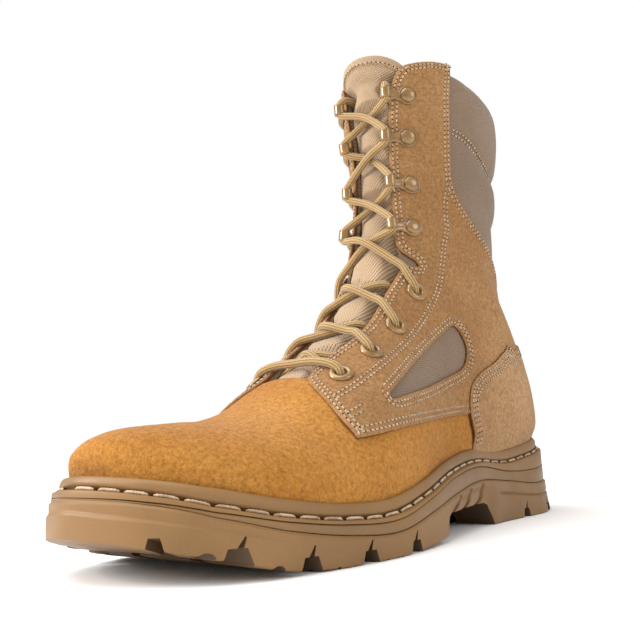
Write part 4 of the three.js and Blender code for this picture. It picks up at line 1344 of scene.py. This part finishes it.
binding_across = np.linspace(-0.93, 0.93, 160)
binding_top = tongue_top(binding_across)
binding_share = (binding_top - BINDING + 0.07 - TONGUE_BOTTOM) / (binding_top - TONGUE_BOTTOM)
binding_place = np.searchsorted(share[:, 0], binding_share), np.searchsorted(across, binding_across)
binding_line = even_line(surface[binding_place], FINE)
binding_line = smooth_line(binding_line[::12], FINE, 3.0)
at = np.arange(4, len(binding_line) - 4, int(STITCH / FINE))
direction = unit(binding_line[at + 2] - binding_line[at - 2])
outward = unit(np.cross(direction, (0, 0, 1.0)))
outward *= np.sign(-outward[:, 1:2])
middles = binding_line[at] + 0.15 * outward
stitches.append(np.stack([middles, direction, np.cross(outward, direction), outward], 1))

stitches = np.concatenate(stitches)
thread_finish = Finish("thread", 0.75, Sheen_Weight=0.2, Specular_IOR_Level=0.3)
tone = thread_finish.ramp(
    thread_finish.noise(300, 2), (0.35, srgb(152, 124, 96)), (0.65, srgb(192, 168, 138))
)
thread = thread_finish.finish(tone, thread_finish.noise(3000, 1), 0.0002, 0.5)
# Dark capsules at each stitch's ends: painted shade in the holes that the needle made.
painted_hole_shade = Finish("painted_hole_shade", 1.0, Specular_IOR_Level=0.0).finish(srgb(60, 36, 20))
points, faces = capsules(stitches, 2.2, THREAD, 0.3, 6, 6)
make_piece("seam_thread", points, [faces], [thread])
holes = stitches.copy()
holes[:, 0] += holes[:, 1] * STITCH / 2 - holes[:, 3] * 0.12
points, faces = capsules(holes, 0.95, 0.42, 0.0, 4, 5)
make_piece("seam_hole_shade", points, [faces], [painted_hole_shade])
print("stitches", len(stitches), "faces", len(faces))

# %% [markdown]
# ## Welt, midsole and outsole
# The sole is moulded rubber in three layers. The welt is a strip with a round rib against the upper and
# a ledge for its long stitches, the midsole is a band that grows from nothing at the toe to a thick
# wedge at the heel, and the outsole has deep lugs. Each is a profile carried round the outline: a row of
# the profile says how far outside the outline it is, which level it follows, and its rise above that.


# %% Sole helpers and rubber
def rubber_finish(name, low, high):
    """Moulded rubber: one olive tan with slow changes of tone and a fine matt grain."""
    f = Finish(name, 0.5, Specular_IOR_Level=0.4)
    tone = f.ramp(f.noise(22, 3), (0.35, low), (0.68, high))
    grain = f.ramp(f.noise(1600, 2), (0.3, grey(0.93)), (0.7, grey(1.02)))
    rough = f.ramp(f.noise(60, 3), (0.3, grey(0.42)), (0.7, grey(0.58)))
    f.tree.links.new(rough, f.shader.inputs["Roughness"])
    return f.finish(f.mix(1.0, tone, grain, "MULTIPLY"), f.noise(1400, 2), 0.00012, 0.25)


rubber = rubber_finish("olive_rubber", srgb(117, 85, 46), srgb(133, 98, 56))
midsole_rubber = rubber_finish("band_rubber", srgb(114, 84, 48), srgb(128, 96, 57))
# A darker copy of the rubber for the faces that the booleans cut: painted shade in the grooves, slits and
# nicks.
groove_shade_rubber = rubber_finish("groove_shade_rubber", srgb(66, 47, 27), srgb(84, 62, 38))
ROUND_STEPS = 760
outline_points, outline_out, _ = outline(ROUND_STEPS)


def sole_rings(profile):
    """The points of a profile carried round the outline, as rows of the profile by places round it."""
    out = np.array([row[0] for row in profile])[:, None, None]
    flat = outline_points + outline_out * out
    rise = np.array([row[2] for row in profile])[:, None]
    columns = [row[1] for row in profile]
    height = np.stack([level(column, flat[k, :, 1]) for k, column in enumerate(columns)]) + rise
    return np.concatenate([flat, height[..., None]], -1)


WELT = [
    (-15, FEATHER, -0.3), (-6.6, FEATHER, -0.3), (-6.1, FEATHER, 0.2), (-5.4, FEATHER, 0.45),
    (-4.7, FEATHER, 0.2), (-4.1, FEATHER, -0.5), (-3.6, FEATHER, -1.6),
    (-3.45, STITCHED, 2.0), (-3.7, STITCHED, 1.3),
    (-4.5, STITCHED, 0.7), (-4.8, STITCHED, 0.0), (-4.2, STITCHED, -0.5), (-2.9, STITCHED, -0.5),
    (-2.0, STITCHED, -0.5), (-1.35, STITCHED, -0.65), (-0.9, STITCHED, -0.95), (-0.75, STITCHED, -1.3),
    (-0.75, LIP, 0.25), (-1.0, LIP, 0.12), (-1.4, LIP, 0.1), (-15, LIP, 0.1),
]
MIDSOLE = [
    (-15.5, FEATHER, -0.6), (-15.5, LIP, 0.0), (-1.9, LIP, 0.0), (-1.3, LIP, -0.1), (-0.9, LIP, -0.35),
    (-0.72, LIP, -0.7), (-0.6, BAND, 0.75), (-0.7, BAND, 0.45), (-1.0, BAND, 0.25), (-1.6, BAND, 0.2),
    (-15.5, BAND, 0.2),
]
for name, profile, material, node, slot_name in (
    ("welt_strip", WELT, rubber, "welt", "rubber"),
    ("midsole_band", MIDSOLE, midsole_rubber, "midsole", "midsole_rubber"),
):
    rings = sole_rings(profile)
    faces = grid_faces(len(profile), ROUND_STEPS, close_rows=True, close_columns=True)
    layer = make_piece(name, rings.reshape(-1, 3), [faces], [material], sharp=40)
    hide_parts(node)
print("welt faces", len(WELT) * ROUND_STEPS)

# %% [markdown]
# ## The outsole and its lugs
# The outsole's side wall is a fine grid, so that the moulded details can be part of its shape: a ledge
# round the toe, three curved hollows over the arch with ribs between them, and a wall that leans out
# towards the ground at the heel. The grooves between the lugs go right across, so they are cut from the
# solid with booleans, as are the lengthwise grooves, the recess under the arch, and the nicks and slits of
# the edge.

# %% The outsole
ARCH_SIDE = (
    (-13, -2), (-12.4, 6), (-10.5, 10), (-6, 11.3), (24, 11.8), (43, 11.8), (47, 10.5), (51, 5), (55, -2),
)
GROOVES = (
    # places along the boot at the outer edge, in the middle and at the inner edge
    (-127, -132, -118), (-102, -108, -93), (-75.5, -82, -66), (-47, -54, -38), (92, 88, 92), (122, 126, 122),
)
NICKS = ((-136, 2.6), (-114.5, 2.6), (-90, 1.3), (-83, 1.0), (-66, 1.0), (-57, 1.0), (-37, 0.9), (-29, 0.9))
LEDGE_PLACES = (-160, -155, -148, -140, -130, -120, -100)
LEDGE_HEIGHTS = (26, 24, 22, 19.8, 17.2, 14.4, 8.5)
HOLLOWS = (-7, 9, 26)  # where the hollows over the arch start, along the boot
GROOVE_MOUTH, GROOVE_ROOF, GROOVE_DEPTH = 9, 5.4, 4.8
TOE_GROOVES = (((10, -128), (30, -162)), ((-34, -118), (-66, -134)))
LONG_GROOVES, LONG_GROOVE_X = ((-128, -112, -84, -40, -8), (50, 78, 100, 134)), (-17, 17)
PAST_EDGE = 80  # a distance from the middle line that is outside the sole on both sides
WALL_ROWS = 34
OUTSOLE_SHARP = 32  # degrees between faces, from which an edge stays sharp


def outsole_wall(count):
    """The wall's points. A share of the way down from the band to the tread is one parameter, the place round
    the outline the other. The outward distance adds up the ledge, the hollows, the heel's lean
    and a line scored round the heel."""
    share = (np.linspace(0, 1, count) ** 1.15)[:, None]
    x, y = outline_points.T
    top, bottom = level(BAND, y), level(TREAD, y)
    z = top + (bottom - top) * share
    ledge = np.interp(y, LEDGE_PLACES, LEDGE_HEIGHTS)
    out = -0.7 + 0.9 * smooth(top - z, 0.0, 1.0)
    out = out + 0.9 * smooth(ledge - z, -0.5, 0.9) * (1 - smooth(y, -125, -95))
    scored = 0.9 * np.exp(-((z - (top - 6.5)) / 0.6) ** 2) * smooth(y, 56, 68)
    out = out + 1.5 * smooth(y, 60, 130) * share**1.5 - scored
    for start in HOLLOWS:
        line = start + 15.5 * (1 - np.clip((20 - z) / 9.5, 0, 1) ** 4)
        near = np.exp(-(((y - line) / 1.25) ** 2)) * smooth(z, 8, 10.5)
        out = out - 4.5 * (near * (1 - smooth(z, top - 2.5, top - 1.0)))
    out = out - 0.8 * smooth(share, 0.96, 1)
    arch = smooth(y, -14, 2) * (1 - smooth(y, 46, 58))
    out = out - 1.2 * arch * smooth(top - z, 2.0, 5.0)
    flat = outline_points + outline_out * out[..., None]
    return np.concatenate([flat, z[..., None]], -1)


wall = outsole_wall(WALL_ROWS)
half_steps = ROUND_STEPS // 2


def closing_strip(start, turned_over):
    """A strip of faces across the end of the wall, between a place and its partner on the other side."""
    i = np.arange(half_steps)
    partner, next_partner = (ROUND_STEPS - i) % ROUND_STEPS, ROUND_STEPS - i - 1
    faces = start + np.stack([i, i + 1, next_partner, partner], -1)
    return faces[:, ::-1] if turned_over else faces


wall_faces = np.vstack([
    grid_faces(len(wall), ROUND_STEPS, close_columns=True),
    closing_strip(0, True), closing_strip((len(wall) - 1) * ROUND_STEPS, False),
])


def extruded(section, start, end):
    """A closed solid whose section, a closed loop in y and z, is carried straight from one x to another."""
    section = np.array(section, float)
    count = len(section)
    ends = [np.column_stack([np.full(count, x), section]) for x in (start, end)]
    middle = np.repeat(section.mean(0)[None], count, 0)
    caps = [np.column_stack([np.full(count, x), middle]) for x in (start, end)]
    return np.vstack([caps[0], *ends, caps[1]]), grid_faces(4, count, close_columns=True)


def groove_cutter(places, mouth, roof, depth):
    """A groove whose section is a trapezium, wider at the ground, carried through places in x and y."""
    places = np.array(places, float)
    step = unit(np.gradient(places, axis=0))
    side = np.stack([-step[:, 1], step[:, 0]], -1)
    tread = level(TREAD, places[:, 1])
    corners = ((-mouth / 2 - 1, -4), (mouth / 2 + 1, -4), (roof / 2, depth), (-roof / 2, depth))
    rings = np.stack([np.column_stack([places + side * half, tread + rise]) for half, rise in corners], 1)
    middle = rings.mean(1, keepdims=True).repeat(4, 1)
    rings = np.concatenate([middle[:1], rings, middle[-1:]])
    return rings.reshape(-1, 3), grid_faces(len(rings), 4, close_columns=True)


def disc(place, height, radius):
    """The loop of a circle in y and z."""
    angle = np.linspace(0, 2 * np.pi, 14, endpoint=False)
    return np.column_stack([place + radius * np.cos(angle), height + radius * np.sin(angle)])


def edge_place(y, side):
    """How far the sole's edge is from the middle line on one side, at a place along the boot."""
    return np.interp(y, OUTLINE[:, 0], OUTLINE[:, 1 if side > 0 else 2])


cutters = [extruded(ARCH_SIDE, -PAST_EDGE, PAST_EDGE)]
for outer_y, middle_y, inner_y in GROOVES:
    places = ((-78, inner_y - 4), (0, middle_y), (78, outer_y + 4))
    cutters.append(groove_cutter(places, GROOVE_MOUTH, GROOVE_ROOF, GROOVE_DEPTH))
    for side, y in ((1, outer_y), (-1, inner_y)):
        edge_x = edge_place(y, side)
        z = level(TREAD, y) + GROOVE_DEPTH
        slit = ((y - 1.2, z - 0.6), (y + 1.2, z - 0.6), (y + 2.3, z + 3.6), (y + 1.8, z + 3.8))
        cutters.append(extruded(slit, edge_x - side * 1.6, edge_x + side * 6))
for y, radius in NICKS:
    for side, _ in SIDES:
        nick, edge_x = disc(y, level(TREAD, y) - 0.4 * radius, radius), edge_place(y, side)
        cutters.append(extruded(nick, edge_x - side * 5, edge_x + side * 6))
for corner in TOE_GROOVES:
    cutters.append(groove_cutter(corner, 7, 4, 4.2))
for x in LONG_GROOVE_X:
    for line in LONG_GROOVES:
        cutters.append(groove_cutter([(x, y) for y in line], 6, 4, 4.6))


def plain_object(name, points, faces):
    """A mesh object in metres that isn't a piece of the boot: a tool for a boolean."""
    mesh = bpy.data.meshes.new(name)
    mesh.from_pydata((np.asarray(points) * MM).tolist(), [], faces.tolist())
    # The cutters' faces take the second material, the darker rubber that paints the shade in the cuts.
    mesh.polygons.foreach_set("material_index", np.ones(len(faces), np.int32))
    cleaned(mesh, NO_LENGTH, triangles=True)
    made = bpy.data.objects.new(name, mesh)
    scene.collection.objects.link(made)
    return made


wall_points = wall.reshape(-1, 3)
outsole = make_piece("lugged_outsole", wall_points, [wall_faces], [rubber, groove_shade_rubber])
for k, (points, faces) in enumerate(cutters):
    tool = plain_object(f"cutter_{k}", points, faces)
    for material in (rubber, groove_shade_rubber):
        tool.data.materials.append(material)
    cut = outsole.modifiers.new("cut", "BOOLEAN")
    cut.object, cut.operation, cut.solver = tool, "DIFFERENCE", "MANIFOLD"
evaluated = outsole.evaluated_get(bpy.context.evaluated_depsgraph_get())
cut_mesh = bpy.data.meshes.new_from_object(evaluated)
outsole.modifiers.clear()
outsole.data = cut_mesh
cut_mesh.polygons.foreach_set("use_smooth", np.ones(len(cut_mesh.polygons), bool))
cut_mesh.set_sharp_from_angle(angle=math.radians(OUTSOLE_SHARP))
for tool in [o for o in scene.objects if o.name.startswith("cutter_")]:
    bpy.data.objects.remove(tool)
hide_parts("outsole")
print("outsole faces", len(cut_mesh.polygons))

# %% [markdown]
# ## Welt stitching
# A heavy two-ply thread runs round the welt in stitches about ten millimetres long, each lying in the
# ledge and pulled down into a hole at its ends, where a dark capsule paints the hole's shade. The capsules
# are the same as for the seams, with more rings and a twist: their thickness is a wave of the angle round
# them plus the place along them.

# %% Welt stitches
WELT_STITCH, WELT_FINE = 10.6, 0.5
welt_line = sole_rings([(-3.1, STITCHED, 0.25)])[0]
welt_line = even_line(np.vstack([welt_line, welt_line[:1]]), WELT_FINE)
at = np.arange(10, len(welt_line) - 12, int(WELT_STITCH / WELT_FINE))
direction = unit(welt_line[at + 6] - welt_line[at - 6])
upright = (0, 0, 1.0)
outward = unit(np.cross(direction, np.cross(upright, direction)) + 0.8 * np.cross(direction, upright))
frames = np.stack([welt_line[at], direction, unit(np.cross(outward, direction)), outward], 1)
points, faces = capsules(frames, WELT_STITCH - 0.9, 0.56, 0.9, 30, 10, twist=44)
make_piece("welt_thread", points, [faces], [thread])
# A dark capsule at each stitch's end: painted shade in the welt's stitch holes.
holes = frames.copy()
holes[:, 0] += holes[:, 1] * WELT_STITCH / 2 - holes[:, 3] * 0.45
points, faces = capsules(holes, 1.6, 0.6, 0.0, 6, 8)
make_piece("welt_hole_shade", points, [faces], [painted_hole_shade])
print("welt stitches", len(at))

# %% [markdown]
# ## Footbed
# Inside the boot a foam insole lies on the midsole. From above it is a dark tan shape deep in the shaft.
# It is a disc whose rings shrink from the outline to a middle point, with its rim turned up.

# %% The footbed
FOOTBED_RINGS, FOOTBED_INSET, FOAM_THICKNESS = 26, 12.5, 3.6
share = np.linspace(1, 0, FOOTBED_RINGS)[:, None]
foot_edge = outline_points - outline_out * FOOTBED_INSET
middle = np.array([-1.0, 10.0])
flat = middle + (foot_edge - middle) * share[..., None]
height = level(FEATHER, flat[..., 1]) + 4.5 + 1.5 * share**8
top = np.concatenate([flat, height[..., None]], -1)
under = top - np.array([0, 0, FOAM_THICKNESS])
foam_finish = Finish("foam", 0.95, Specular_IOR_Level=0.1)
foam = foam_finish.finish(
    foam_finish.ramp(foam_finish.noise(700, 3), (0.3, srgb(88, 74, 54)), (0.7, srgb(124, 106, 80))),
    foam_finish.noise(900, 2), 0.0005, 0.6,
)
top_faces = grid_faces(FOOTBED_RINGS, ROUND_STEPS, close_columns=True)
points = np.vstack([top.reshape(-1, 3), under.reshape(-1, 3)])
faces = walled(top_faces, FOOTBED_RINGS * ROUND_STEPS)
footbed = make_piece("footbed", points, faces, [foam])
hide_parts("insole")
print("footbed", top[..., 2].min().round(1), top[..., 2].max().round(1))

# %% [markdown]
# ## Floor and light
# The boot stands on a wide white floor in a bright studio. A sun with a very wide disc, high on the
# left, lights the floor evenly to white and throws only a soft shadow close to the sole. The world gives
# the fill. Two area lamps draw the highlights on the metal and along the toe. What the camera sees of the
# world directly is plain white, so floor and backdrop join without a line.


# %% Floor, lamps and world
FLOOR_HALF = 60  # metres
floor_finish = Finish("white_floor", 0.95, Specular_IOR_Level=0.0)
floor_material = floor_finish.finish(grey(0.93))
mesh = bpy.data.meshes.new("floor")
corners = [(x * FLOOR_HALF, y * FLOOR_HALF, 0) for x, y in ((-1, -1), (1, -1), (1, 1), (-1, 1))]
mesh.from_pydata(corners, [], [(0, 1, 2, 3)])
mesh.materials.append(floor_material)
floor = bpy.data.objects.new("floor", mesh)
scene.collection.objects.link(floor)


def lamp(name, kind, place, aim, size, power):
    """A lamp at a place in metres, turned towards another. A sun's size is its disc's angle in degrees."""
    data = bpy.data.lights.new(name, kind)
    data.energy = power
    if kind == "SUN":
        data.angle = math.radians(size)
    else:
        data.shape, data.size = "SQUARE", size
    light = bpy.data.objects.new(name, data)
    light.location = place
    light.rotation_euler = (Vector(aim) - Vector(place)).to_track_quat("-Z", "Y").to_euler()
    scene.collection.objects.link(light)


MIDDLE = (0.0, 0.0, 0.1)
lamp("sky", "SUN", (-0.45, -0.6, 1.7), MIDDLE, 60, 2.5)
lamp("key", "AREA", (-0.75, -1.0, 0.6), MIDDLE, 0.45, 16)
lamp("rim", "AREA", (1.3, 0.1, 0.7), MIDDLE, 0.6, 4)

world = bpy.data.worlds.new("studio")
world.use_nodes = True
tree = world.node_tree
fill = tree.nodes["Background"]
fill.inputs["Color"].default_value = (1.0, 0.985, 0.96, 1.0)
fill.inputs["Strength"].default_value = 0.75
seen = tree.nodes.new("ShaderNodeBackground")
seen.inputs["Color"].default_value = (1.0, 1.0, 1.0, 1.0)
choose = tree.nodes.new("ShaderNodeMixShader")
path = tree.nodes.new("ShaderNodeLightPath")
for source, target in (
    (path.outputs["Is Camera Ray"], choose.inputs[0]), (fill.outputs[0], choose.inputs[1]),
    (seen.outputs[0], choose.inputs[2]), (choose.outputs[0], tree.nodes["World Output"].inputs["Surface"]),
):
    tree.links.new(source, target)
scene.world = world
scene.view_settings.view_transform = "Standard"
scene.view_settings.look = "None"
